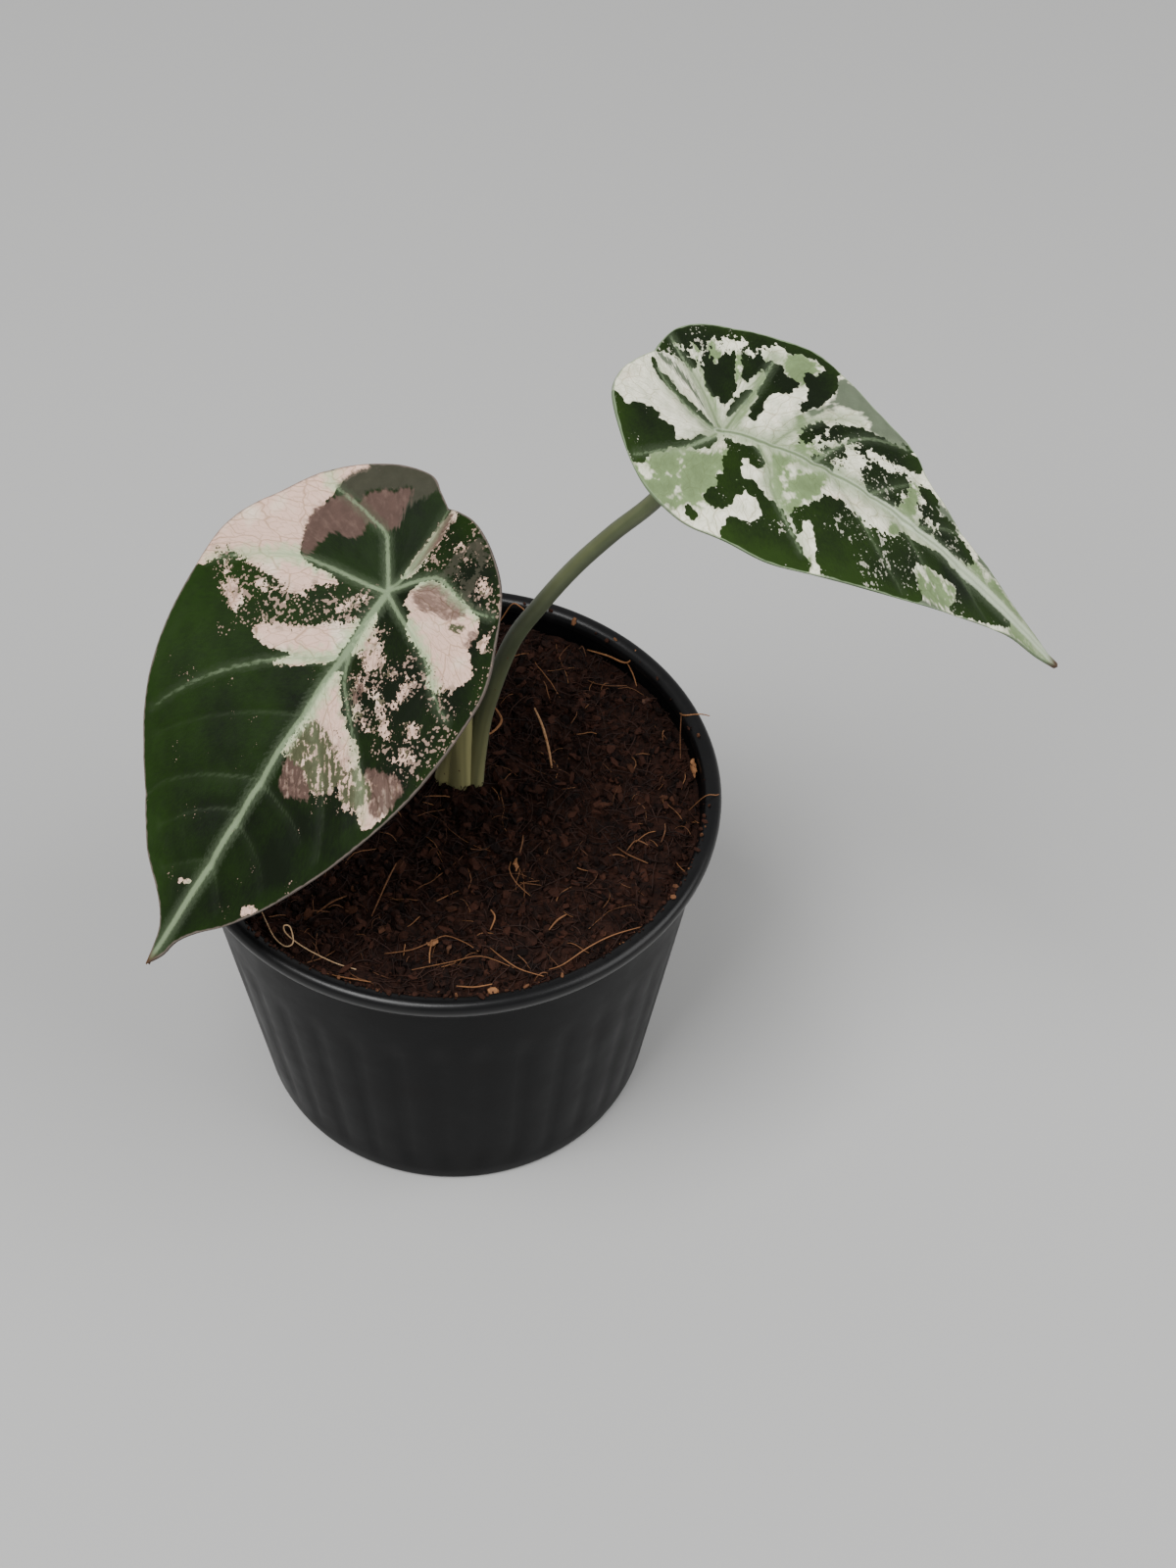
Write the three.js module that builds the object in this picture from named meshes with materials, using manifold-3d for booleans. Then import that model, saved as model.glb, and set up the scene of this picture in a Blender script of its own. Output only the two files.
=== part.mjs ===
// Potted black velvet alocasia, a small variegated plant with two leaves in a round nursery pot.
// Millimetres, +Z up. The origin is the centre of the pot's underside; the plant is seen along +Y.

import * as THREE from 'three';
import { mergeVertices } from 'three/addons/utils/BufferGeometryUtils.js';
import Module from 'manifold-3d';

const wasm = await Module();
wasm.setup();

// Points of one mesh that lie closer together than this are one point
const WELD = 1e-3;

// Pot
const RIM_RADIUS = 54;
const POT_HEIGHT = 81;
const BASE_RADIUS = 41;
const WALL = 1.2;
const FLOOR = 1.6;
const RIM_SKIRT = 3.4;
const RIM_LIP = 3.2;
const RIM_OVERHANG = 2.2;
const INNER_STEP_HEIGHT = 60;
const FOOT_BEVEL = [1.6, 1.4];
const POT_SIDES = 72;
const FLUTE_DEPTH = 0.5;
const FLUTE_FOOT = 9;
const FLUTE_HEAD = 58;
const FLUTE_RUN_OUT = 3;
const DRAIN_HOLES = 8;
const DRAIN_RADIUS = 4;
const DRAIN_RING = 29;

// Soil
const SOIL_LEVEL = 75.4;
const SOIL_CROWN = 0.9;
const SOIL_RELIEF = 0.9;
const CLEARANCE = 0.3;
const SOIL_SEED = 11;
const SOIL_RINGS = 12;
const SOIL_SIDES = 54;
const CHIP_COUNT = 85;
const CHIP_SIZE = [0.9, 2.3];
const CHIP_SHAPE = [1.2, 0.8, 0.62];
const CHIP_LIFT = 0.12;
const CHIP_MARGIN = 3.4;
const CHIP_FREE_RADIUS = 8.5;
const FIBRE_RADIUS = 0.42;
const STEM_HOLE_GAP = 0.55;
const STEM_SIDES = 12;
const STEM_SEGMENTS = 26;
const TUBER_HOLE_GAP = 0.4;

// Tuber under the soil, with the two stems standing on it
const TUBER_AT = [1.5, 5.2];
const TUBER_RADIUS = 6.2;
const TUBER_TOP = 66;
const TUBER_DEPTH = 20;
const TUBER_SIDES = 18;
const TUBER_STEPS = 14;
const TUBER_GROOVE = 0.35;

// Blades: a spine of arc length from the hub, where the stem meets the blade, and a section across it
const BLADE_THICKNESS = 0.8;
const HUB_SOFTNESS = 4;
const LOBE_CURL = 0.012;
const WAVE_HEIGHT = 0.9;
const WAVE_LENGTH = 46;
const WAVE_SHIFT = 2.1;
const WAVE_REACH = 30;
const SPINE_STEPS = 20;
const NORMAL_REACH = 0.6;
const MIDRIB_RADIUS = [1.3, 0.5];
const VEIN_RADIUS = [0.75, 0.45];
const RIB_COVER = 0.3;
const STUB_START = 0.55;
const LINES_PER_STATION = 2;
const COLUMNS = [0, 0.1, 0.28, 0.5, 0.74, 1];

// Each station is the place on the midrib where a transverse line starts, and the points [along, across] where it
// meets the two edges. The first station is the notch between the hind lobes and the last one is the tip.
const LEFT_BLADE = {
  hub: [-9.9, -4.5, 142], heading: -133, dip: 32, roll: 1.5,
  lobeRise: 0.15, arch: 0.0048, archChange: -0.00005,
  fold: -0.18, curlMinus: 0.004, curlPlus: 0.004, wavePhase: 0.6,
  foot: [0, 0, 0, 0, 0, 0, 0, 0, 4, 10, 18, 27, 37, 48, 59, 68, 76, 83.2],
  minus: [
    [-18.4, 0], [-19.9, -3], [-21.3, -6.7], [-18.6, -14], [-11.5, -23], [-3, -28.8], [6, -34.5], [14, -36.3],
    [24, -34.7], [34, -31.7], [44, -27.7], [52, -22.4], [59, -17.2], [66, -11.5], [71.5, -5], [75.5, -2],
    [79.5, -1], [83.2, -0.4],
  ],
  plus: [
    [-18.4, 0], [-19, 3.2], [-18.9, 8.1], [-16.3, 14.9], [-11.9, 21.4], [-4.4, 27.1], [4.5, 32.1], [14, 32.7],
    [24, 31.4], [34, 29], [44, 25.8], [52, 22], [60, 17], [67, 11.4], [72, 6.3], [76, 3.2],
    [79.8, 1.9], [83.2, -0.4],
  ],
  veins: [4.4, 7.2, 10, 12, 13.2],
};

const RIGHT_BLADE = {
  hub: [48.4, 1.8, 178], heading: -6.5, dip: 10.5, roll: 4,
  lobeRise: 0.58, arch: 0.019, archChange: -0.00026,
  fold: -0.06, curlMinus: 0.014, curlPlus: -0.001, wavePhase: 2.0,
  foot: [0, 0, 0, 0, 0, 0, 0, 1.5, 5, 10, 17, 25, 34, 44, 54, 64, 75, 85.6],
  minus: [
    [-15.5, 9.2], [-18.4, 5.6], [-21, 1], [-21.5, -5], [-17.5, -13], [-12, -18.5], [-5, -20.7], [4, -21.8],
    [13, -23.2], [22, -21.9], [31, -19.5], [40, -16.3], [49, -12.7], [57, -9.6], [65, -6.3], [71.5, -4],
    [79, -2.8], [85.6, -1],
  ],
  plus: [
    [-15.5, 9.2], [-14.7, 11.8], [-12.6, 16], [-9, 19.2], [-4, 21.6], [2, 22.7], [9, 23.6], [15, 23.8],
    [21.8, 21.4], [30, 17.9], [37.5, 15.7], [42, 12.2], [48, 9.4], [55, 6.9], [62, 5.2], [69, 3.2],
    [77, 1.5], [85.6, -1],
  ],
  veins: [4.6, 7.6, 9.6, 11.2, 12.6],
};

// Stems: points on the centre line, from the tuber up to the stub below the blade's hub
const LEFT_STEM = {
  route: [
    [-1.1, 5.4, 66.3], [-0.9, 5.4, 76], [0.5, 5.3, 86], [0.3, 4.9, 97], [-1.3, 3.6, 111], [-4.4, 0.6, 126],
    [-8.3, -3.0, 138.6],
  ],
  footRadius: 2.55, radius: 1.75, topRadius: 1.5, sheathLength: 9,
};
const RIGHT_STEM = {
  route: [
    [4.1, 5, 66.3], [4.2, 5, 76], [5.1, 4.9, 86], [7.1, 4.8, 99.5], [12, 4.4, 118.5], [17.6, 4, 130.2],
    [23.8, 3.6, 141], [30.6, 3.1, 150.7], [37.9, 2.6, 160], [46.5, 1.9, 174.7],
  ],
  footRadius: 2.0, radius: 1.8, topRadius: 1.5, sheathLength: 12,
};

const COLOURS = {
  pot: { color: 0x17181a, roughness: 0.5, metalness: 0 },
  soil: { color: 0x2c1710, roughness: 0.95, metalness: 0 },
  tuber: { color: 0x6e4a33, roughness: 0.85, metalness: 0 },
  stem: { color: 0x8f9f78, roughness: 0.55, metalness: 0 },
  leaf: { color: 0x1d3a1c, roughness: 0.7, metalness: 0 },
};

// A seeded random draw, so that every build gives the same soil
function seeded(seed) {
  let state = seed;
  return () => {
    state = (state + 0x6d2b79f5) | 0;
    let mixed = Math.imul(state ^ (state >>> 15), 1 | state);
    mixed = (mixed + Math.imul(mixed ^ (mixed >>> 7), 61 | mixed)) ^ mixed;
    return ((mixed ^ (mixed >>> 14)) >>> 0) / 4294967296;
  };
}

// Joining and cutting
function toSolid(geometry) {
  const bare = geometry.clone();
  bare.deleteAttribute('normal');
  bare.deleteAttribute('uv');
  const merged = mergeVertices(bare, WELD / 10);
  const triVerts = new Uint32Array(merged.index.array);
  const vertProperties = new Float32Array(merged.attributes.position.array);
  return new wasm.Manifold(new wasm.Mesh({ numProp: 3, vertProperties, triVerts }));
}

function toGeometry(solid) {
  const mesh = solid.getMesh();
  const geometry = new THREE.BufferGeometry();
  geometry.setAttribute('position', new THREE.BufferAttribute(mesh.vertProperties, 3));
  geometry.setIndex(new THREE.BufferAttribute(mesh.triVerts, 1));
  geometry.computeVertexNormals();
  return geometry;
}

function join(solids) {
  return solids.reduce((whole, next) => whole.add(next));
}

function cylinder(radius, low, high, x, y, sides = 20) {
  const geometry = new THREE.CylinderGeometry(radius, radius, high - low, sides);
  geometry.rotateX(Math.PI / 2);
  geometry.translate(x, y, (low + high) / 2);
  return geometry;
}

// A round bar bent along a curve, with a radius given by how far along it is
function bentBar(points, radiusAt, sides, segments) {
  const curve = new THREE.CatmullRomCurve3(points, false, 'centripetal');
  const frames = curve.computeFrenetFrames(segments, false);
  const geometry = new THREE.CylinderGeometry(1, 1, 1, sides, segments);
  const position = geometry.attributes.position;
  const centre = new THREE.Vector3();
  for (let i = 0; i < position.count; i += 1) {
    const share = position.getY(i) + 0.5;
    const step = Math.round(share * segments);
    const radius = radiusAt(share);
    curve.getPointAt(share, centre);
    centre.addScaledVector(frames.normals[step], position.getX(i) * radius);
    centre.addScaledVector(frames.binormals[step], -position.getZ(i) * radius);
    position.setXYZ(i, centre.x, centre.y, centre.z);
  }
  return geometry;
}

// Pot: a lathe of the wall, rim and floor, shallow upright flutes on the wall, and drain holes in the floor
function potRadiusAt(z) {
  const headRadius = RIM_RADIUS - RIM_OVERHANG;
  return BASE_RADIUS + (headRadius - BASE_RADIUS) * (z / (POT_HEIGHT - RIM_SKIRT));
}

function potGeometry() {
  const skirtFoot = POT_HEIGHT - RIM_SKIRT;
  const profile = [
    [0, 0], [BASE_RADIUS - FOOT_BEVEL[0], 0], [potRadiusAt(FOOT_BEVEL[1]), FOOT_BEVEL[1]],
    ...[FLUTE_FOOT - FLUTE_RUN_OUT, FLUTE_FOOT, FLUTE_HEAD, FLUTE_HEAD + FLUTE_RUN_OUT, skirtFoot].map(
      (height) => [potRadiusAt(height), height],
    ),
    [RIM_RADIUS - 0.3, skirtFoot], [RIM_RADIUS, skirtFoot + 0.7], [RIM_RADIUS, POT_HEIGHT - 1.2],
    [RIM_RADIUS - 0.8, POT_HEIGHT - 0.2], [RIM_RADIUS - 1.6, POT_HEIGHT],
    [RIM_RADIUS - RIM_LIP, POT_HEIGHT - 0.3], [RIM_RADIUS - RIM_LIP - 0.5, POT_HEIGHT - 1.3],
    [potRadiusAt(INNER_STEP_HEIGHT) - WALL, INNER_STEP_HEIGHT], [potRadiusAt(FLOOR) - WALL, FLOOR], [0, FLOOR],
  ];
  const outline = profile.map(([radius, height]) => new THREE.Vector2(radius, height));
  const geometry = new THREE.LatheGeometry(outline, POT_SIDES);
  geometry.rotateX(Math.PI / 2);
  const position = geometry.attributes.position;
  for (let i = 0; i < position.count; i += 1) {
    const x = position.getX(i);
    const y = position.getY(i);
    const z = position.getZ(i);
    const radius = Math.hypot(x, y);
    const side = Math.round((Math.atan2(y, x) / (2 * Math.PI)) * POT_SIDES);
    const onWall = radius > potRadiusAt(z) - WALL / 2 && z > FLUTE_FOOT - 1 && z < FLUTE_HEAD + 1;
    if (onWall && side % 2 !== 0) {
      const scale = (radius - FLUTE_DEPTH) / radius;
      position.setXYZ(i, x * scale, y * scale, z);
    }
  }
  let solid = toSolid(geometry);
  for (let hole = 0; hole < DRAIN_HOLES; hole += 1) {
    const turn = (2 * Math.PI * hole) / DRAIN_HOLES;
    const x = DRAIN_RING * Math.cos(turn);
    const y = DRAIN_RING * Math.sin(turn);
    solid = solid.subtract(toSolid(cylinder(DRAIN_RADIUS, -1, FLOOR + 1, x, y, 16)));
  }
  return toGeometry(solid);
}

// Soil: a plug with a lumpy top, chips and fibres sunk into it, and plain holes for the stems and the tuber
function soilHeight(x, y) {
  const reach = Math.hypot(x, y) / RIM_RADIUS;
  const lumps = Math.sin(0.31 * x + 1.7 * Math.sin(0.13 * y)) * Math.cos(0.27 * y + 1.1 * Math.sin(0.19 * x));
  const grains = 0.5 * Math.sin(0.83 * x + 0.4 * y) * Math.sin(0.71 * y - 0.5 * x);
  return SOIL_LEVEL + SOIL_CROWN * (1 - reach * reach) + SOIL_RELIEF * 0.6 * (lumps + grains);
}

function soilPlug(random) {
  const low = FLOOR + CLEARANCE;
  const high = potRadiusAt(SOIL_LEVEL) - WALL - CLEARANCE - 0.3;
  const foot = potRadiusAt(low) - WALL - CLEARANCE - 0.2;
  const outline = [new THREE.Vector2(0, low), new THREE.Vector2(foot, low)];
  for (let ring = SOIL_RINGS; ring >= 0; ring -= 1) {
    outline.push(new THREE.Vector2((high * ring) / SOIL_RINGS, SOIL_LEVEL));
  }
  const geometry = new THREE.LatheGeometry(outline, SOIL_SIDES);
  geometry.rotateX(Math.PI / 2);
  const merged = mergeVertices(strip(geometry), WELD);
  const position = merged.attributes.position;
  for (let i = 0; i < position.count; i += 1) {
    const x = position.getX(i);
    const y = position.getY(i);
    if (position.getZ(i) > low + 1) {
      const reach = Math.hypot(x, y);
      const roughness = reach > high - 0.5 ? 0 : SOIL_RELIEF * Math.min(1, reach / 16);
      position.setZ(i, soilHeight(x, y) + (random() - 0.5) * roughness);
    }
  }
  return toSolid(merged);
}

function strip(geometry) {
  geometry.deleteAttribute('normal');
  geometry.deleteAttribute('uv');
  return geometry;
}

function nearStems(x, y) {
  return Math.hypot(x - TUBER_AT[0], y - TUBER_AT[1]) < CHIP_FREE_RADIUS;
}

function soilChips(random) {
  const chips = [];
  const reach = potRadiusAt(SOIL_LEVEL) - WALL - CHIP_MARGIN;
  while (chips.length < CHIP_COUNT) {
    const radius = reach * Math.sqrt(random());
    const turn = 2 * Math.PI * random();
    const x = radius * Math.cos(turn);
    const y = radius * Math.sin(turn);
    const size = CHIP_SIZE[0] + (CHIP_SIZE[1] - CHIP_SIZE[0]) * random() ** 2;
    const spin = new THREE.Euler(0.5 * (random() - 0.5), 0.5 * (random() - 0.5), 2 * Math.PI * random());
    if (!nearStems(x, y)) {
      const chip = new THREE.OctahedronGeometry(size);
      chip.scale(...CHIP_SHAPE);
      chip.applyMatrix4(new THREE.Matrix4().makeRotationFromEuler(spin));
      chip.translate(x, y, soilHeight(x, y) + CHIP_LIFT * size);
      chips.push(toSolid(chip));
    }
  }
  return chips;
}

// The coir fibres that show from a step away: where each one lies, how long it is, and how it bows and turns
const FIBRES = [
  { at: [-22, -38], length: 15, turn: -32, bow: 2.2 },
  { at: [-4, -41], length: 17, turn: 8, bow: -2.0 },
  { at: [24, -36], length: 20, turn: 37, bow: 2.4 },
  { at: [-2, -33], length: 12, turn: 70, bow: 1.2 },
  { at: [-12, -26], length: 14, turn: 55, bow: -1.5 },
  { at: [13, -20], length: 9, turn: -65, bow: 1.6 },
  { at: [33, -14], length: 10, turn: -40, bow: 2.0 },
  { at: [17, 14], length: 11, turn: -72, bow: 1.4 },
  { at: [30, 22], length: 12, turn: 20, bow: -2.2 },
  { at: [8, 34], length: 13, turn: -20, bow: 1.8 },
  { at: [-28, 20], length: 14, turn: 48, bow: 1.6 },
  { at: [-34, -8], length: 12, turn: 85, bow: -1.8 },
  { at: [-15, 36], length: 11, turn: 5, bow: 2.0 },
];

function soilFibres() {
  return FIBRES.map(({ at, length, turn, bow }) => {
    const angle = THREE.MathUtils.degToRad(turn);
    const points = [-0.5, -0.17, 0.17, 0.5].map((share) => {
      const side = bow * (1 - 4 * share * share);
      const x = at[0] + length * share * Math.cos(angle) - side * Math.sin(angle);
      const y = at[1] + length * share * Math.sin(angle) + side * Math.cos(angle);
      const lift = 0.7 - 2.6 * share * share;
      return new THREE.Vector3(x, y, soilHeight(x, y) + lift);
    });
    return toSolid(bentBar(points, () => FIBRE_RADIUS, 4, 6));
  });
}

function soilGeometry() {
  const random = seeded(SOIL_SEED);
  let solid = join([soilPlug(random), ...soilChips(random), ...soilFibres()]);
  const above = SOIL_LEVEL + 8;
  for (const stem of [LEFT_STEM, RIGHT_STEM]) {
    const [x, y] = stem.route[1];
    solid = solid.subtract(toSolid(cylinder(stem.footRadius + STEM_HOLE_GAP, TUBER_TOP - 2, above, x, y)));
  }
  const pocketFoot = TUBER_TOP - TUBER_DEPTH - TUBER_HOLE_GAP;
  const pocketTop = TUBER_TOP + 0.35;
  const pocket = cylinder(TUBER_RADIUS + TUBER_HOLE_GAP, pocketFoot, pocketTop, TUBER_AT[0], TUBER_AT[1], 24);
  solid = solid.subtract(toSolid(pocket));
  const pieces = solid.decompose().sort((one, other) => other.volume() - one.volume());
  return toGeometry(pieces[0]);
}

// Tuber: an upright, ringed and tapered body with a flat crown that the stems stand on
function tuberGeometry() {
  const outline = [new THREE.Vector2(0, -TUBER_DEPTH)];
  for (let i = 1; i <= TUBER_STEPS; i += 1) {
    const share = i / TUBER_STEPS;
    const belly = Math.sin(Math.PI * Math.min(1, 0.22 + 0.6 * share) * 0.9) ** 0.8;
    const groove = i % 3 === 0 ? TUBER_GROOVE : 0;
    const radius = TUBER_RADIUS * Math.min(1, share * 3.2) ** 0.6 * belly - groove;
    outline.push(new THREE.Vector2(Math.min(radius, TUBER_RADIUS), -TUBER_DEPTH + TUBER_DEPTH * share));
  }
  outline.push(new THREE.Vector2(0, 0));
  const geometry = new THREE.LatheGeometry(outline, TUBER_SIDES);
  geometry.rotateX(Math.PI / 2);
  geometry.translate(TUBER_AT[0], TUBER_AT[1], TUBER_TOP);
  return toGeometry(toSolid(geometry));
}

// Stem: widest at its sheathing foot and tapering up to the blade
function stemGeometry(stem) {
  const points = stem.route.map((point) => new THREE.Vector3(...point));
  const length = new THREE.CatmullRomCurve3(points, false, 'centripetal').getLength();
  const radiusAt = (share) => {
    const taper = stem.radius + (stem.topRadius - stem.radius) * share;
    const sheath = (stem.footRadius - stem.radius) * Math.exp(-(((share * length) / (2 * stem.sheathLength)) ** 2));
    return taper + sheath;
  };
  return toGeometry(toSolid(bentBar(points, radiusAt, STEM_SIDES, STEM_SEGMENTS)));
}

// Blade surface
function bladeAxes(blade) {
  const heading = THREE.MathUtils.degToRad(blade.heading);
  const dip = THREE.MathUtils.degToRad(blade.dip);
  const roll = THREE.MathUtils.degToRad(blade.roll);
  const along = new THREE.Vector3(
    Math.cos(heading) * Math.cos(dip), Math.sin(heading) * Math.cos(dip), -Math.sin(dip),
  );
  const level = new THREE.Vector3(-Math.sin(heading), Math.cos(heading), 0);
  const up = along.clone().cross(level);
  const across = level.multiplyScalar(Math.cos(roll)).addScaledVector(up, Math.sin(roll));
  return { along, across, face: along.clone().cross(across) };
}

function pitchAt(distance, blade) {
  if (distance >= 0) {
    return blade.arch * distance + 0.5 * blade.archChange * distance * distance;
  }
  return (blade.lobeRise + LOBE_CURL * distance) * (1 - Math.exp(distance / HUB_SOFTNESS));
}

function spineAt(distance, blade) {
  const step = distance / SPINE_STEPS;
  let forward = 0;
  let lift = 0;
  for (let i = 0; i < SPINE_STEPS; i += 1) {
    const pitch = pitchAt((i + 0.5) * step, blade);
    forward += Math.cos(pitch) * step;
    lift -= Math.sin(pitch) * step;
  }
  return { forward, lift, pitch: pitchAt(distance, blade) };
}

function bladePoint([along, across], blade) {
  const axes = bladeAxes(blade);
  const spine = spineAt(along, blade);
  const curl = across > 0 ? blade.curlPlus : blade.curlMinus;
  const bend = blade.fold + curl * Math.abs(across);
  const side = (Math.sign(across) * (Math.sin(bend) - Math.sin(blade.fold))) / curl;
  const phase = blade.wavePhase + (across > 0 ? 0 : WAVE_SHIFT);
  const wave = WAVE_HEIGHT * (across / WAVE_REACH) ** 2 * Math.sin((2 * Math.PI * along) / WAVE_LENGTH + phase);
  const height = (Math.cos(bend) - Math.cos(blade.fold)) / curl + wave;
  const face = axes.along.clone().multiplyScalar(Math.sin(spine.pitch));
  face.addScaledVector(axes.face, Math.cos(spine.pitch));
  return new THREE.Vector3(...blade.hub)
    .addScaledVector(axes.along, spine.forward)
    .addScaledVector(axes.face, spine.lift)
    .addScaledVector(axes.across, side)
    .addScaledVector(face, height);
}

function bladeNormal([along, across], blade) {
  const chord = (dAlong, dAcross) => {
    const ahead = bladePoint([along + dAlong, across + dAcross], blade);
    return ahead.sub(bladePoint([along - dAlong, across - dAcross], blade));
  };
  return chord(NORMAL_REACH, 0).cross(chord(0, NORMAL_REACH)).normalize();
}

// The edge or the midrib at a station between two listed ones, on a smooth curve through them
function between(list, station) {
  const last = list.length - 1;
  const low = Math.min(Math.floor(station), last - 1);
  const share = station - low;
  const pick = (index) => list[Math.max(0, Math.min(last, index))];
  const blend = (before, start, end, after) => {
    const leaving = (end - before) / 2;
    const arriving = (after - start) / 2;
    const square = share * share;
    const cube = square * share;
    return (2 * cube - 3 * square + 1) * start + (cube - 2 * square + share) * leaving
      + (3 * square - 2 * cube) * end + (cube - square) * arriving;
  };
  const four = [pick(low - 1), pick(low), pick(low + 1), pick(low + 2)];
  if (Array.isArray(four[0])) {
    return [0, 1].map((axis) => blend(...four.map((point) => point[axis])));
  }
  return blend(...four);
}

// A transverse line leaves the midrib and sweeps forward to the edge; behind the hub it sweeps back first
function linePoint(station, share, edge, blade) {
  const foot = Math.max(0, between(blade.foot, station));
  const [along, across] = between(edge, station);
  const lead = along < foot ? 0.8 : 0.3;
  const ease = 1 - share;
  const bendAlong = foot + lead * (along - foot);
  return [
    ease * ease * foot + 2 * ease * share * bendAlong + share * share * along,
    2 * ease * share * 0.5 * across + share * share * across,
  ];
}

function bladeShell(blade) {
  const corners = [];
  const stations = (blade.foot.length - 1) * LINES_PER_STATION;
  const face = (point, depth) => {
    return bladePoint(point, blade).addScaledVector(bladeNormal(point, blade), -depth);
  };
  const triangle = (one, two, three) => {
    if (one.distanceTo(two) > WELD && two.distanceTo(three) > WELD && three.distanceTo(one) > WELD) {
      corners.push(...one.toArray(), ...two.toArray(), ...three.toArray());
    }
  };
  for (const [edge, turn] of [[blade.plus, 1], [blade.minus, -1]]) {
    const grid = [0, BLADE_THICKNESS].map((depth) => {
      const rows = [];
      for (let line = 0; line <= stations; line += 1) {
        const station = line / LINES_PER_STATION;
        rows.push(COLUMNS.map((share) => face(linePoint(station, share, edge, blade), depth)));
      }
      return rows;
    });
    const quad = (one, two, three, four) => {
      if (turn > 0) {
        triangle(one, two, three);
        triangle(one, three, four);
      } else {
        triangle(one, three, two);
        triangle(one, four, three);
      }
    };
    for (let line = 0; line < stations; line += 1) {
      for (let column = 0; column < COLUMNS.length - 1; column += 1) {
        const [top, under] = grid;
        quad(top[line][column], top[line + 1][column], top[line + 1][column + 1], top[line][column + 1]);
        if (turn > 0) {
          triangle(under[line][column], under[line + 1][column + 1], under[line + 1][column]);
          triangle(under[line][column], under[line][column + 1], under[line + 1][column + 1]);
        } else {
          triangle(under[line][column], under[line + 1][column], under[line + 1][column + 1]);
          triangle(under[line][column], under[line + 1][column + 1], under[line][column + 1]);
        }
      }
      const rim = COLUMNS.length - 1;
      quad(grid[0][line][rim], grid[0][line + 1][rim], grid[1][line + 1][rim], grid[1][line][rim]);
    }
  }
  const geometry = new THREE.BufferGeometry();
  geometry.setAttribute('position', new THREE.BufferAttribute(new Float32Array(corners), 3));
  return toSolid(mergeVertices(geometry, WELD));
}

// Ribs under the blade: the midrib and the main veins, each tapering towards the edge
function bladeRib(points, [thick, thin], sides, segments, blade) {
  const centres = points.map((point) => {
    return bladePoint(point, blade).addScaledVector(bladeNormal(point, blade), -thick - RIB_COVER);
  });
  return toSolid(bentBar(centres, (share) => thick + (thin - thick) * share, sides, segments));
}

function bladeRibs(blade) {
  const tip = blade.foot[blade.foot.length - 1];
  const midrib = [0, 0.15, 0.3, 0.45, 0.6, 0.75, 0.9].map((share) => [tip * share, 0]);
  const ribs = [bladeRib(midrib, MIDRIB_RADIUS, 8, 12, blade)];
  for (const edge of [blade.plus, blade.minus]) {
    for (const station of blade.veins) {
      const vein = [0, 0.25, 0.5, 0.7, 0.86].map((share) => linePoint(station, share, edge, blade));
      ribs.push(bladeRib(vein, VEIN_RADIUS, 5, 8, blade));
    }
  }
  return ribs;
}

// The stub that carries the blade on its stem, in line with the stem's last stretch
function bladeStub(blade, stem) {
  const hub = new THREE.Vector3(...blade.hub);
  const end = new THREE.Vector3(...stem.route[stem.route.length - 1]);
  const down = end.clone().sub(hub).normalize();
  const start = hub.clone().addScaledVector(down, STUB_START);
  const stop = end.clone().addScaledVector(down, -CLEARANCE);
  return toSolid(bentBar([stop, start], () => stem.topRadius, STEM_SIDES, 1));
}

function bladeGeometry(blade, stem) {
  return toGeometry(join([bladeShell(blade), ...bladeRibs(blade), bladeStub(blade, stem)]));
}

// Assembly
function piece(name, geometry, colour) {
  const mesh = new THREE.Mesh(geometry, new THREE.MeshStandardMaterial(colour));
  mesh.name = name;
  return mesh;
}

const plant = new THREE.Group();
plant.name = 'potted_alocasia';
plant.add(piece('pot', potGeometry(), COLOURS.pot));
plant.add(piece('soil', soilGeometry(), COLOURS.soil));
plant.add(piece('tuber', tuberGeometry(), COLOURS.tuber));
plant.add(piece('stem_left', stemGeometry(LEFT_STEM), COLOURS.stem));
plant.add(piece('stem_right', stemGeometry(RIGHT_STEM), COLOURS.stem));
plant.add(piece('leaf_left', bladeGeometry(LEFT_BLADE, LEFT_STEM), COLOURS.leaf));
plant.add(piece('leaf_right', bladeGeometry(RIGHT_BLADE, RIGHT_STEM), COLOURS.leaf));

export default plant;
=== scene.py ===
"""Potted black velvet alocasia, in metres: a small variegated house plant in a round nursery pot."""

import math
from random import Random

import bmesh
import bpy
import numpy as np
from bpy.props import FloatProperty, FloatVectorProperty, IntProperty, PointerProperty
from mathutils import Euler, Matrix, Vector, noise


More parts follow.
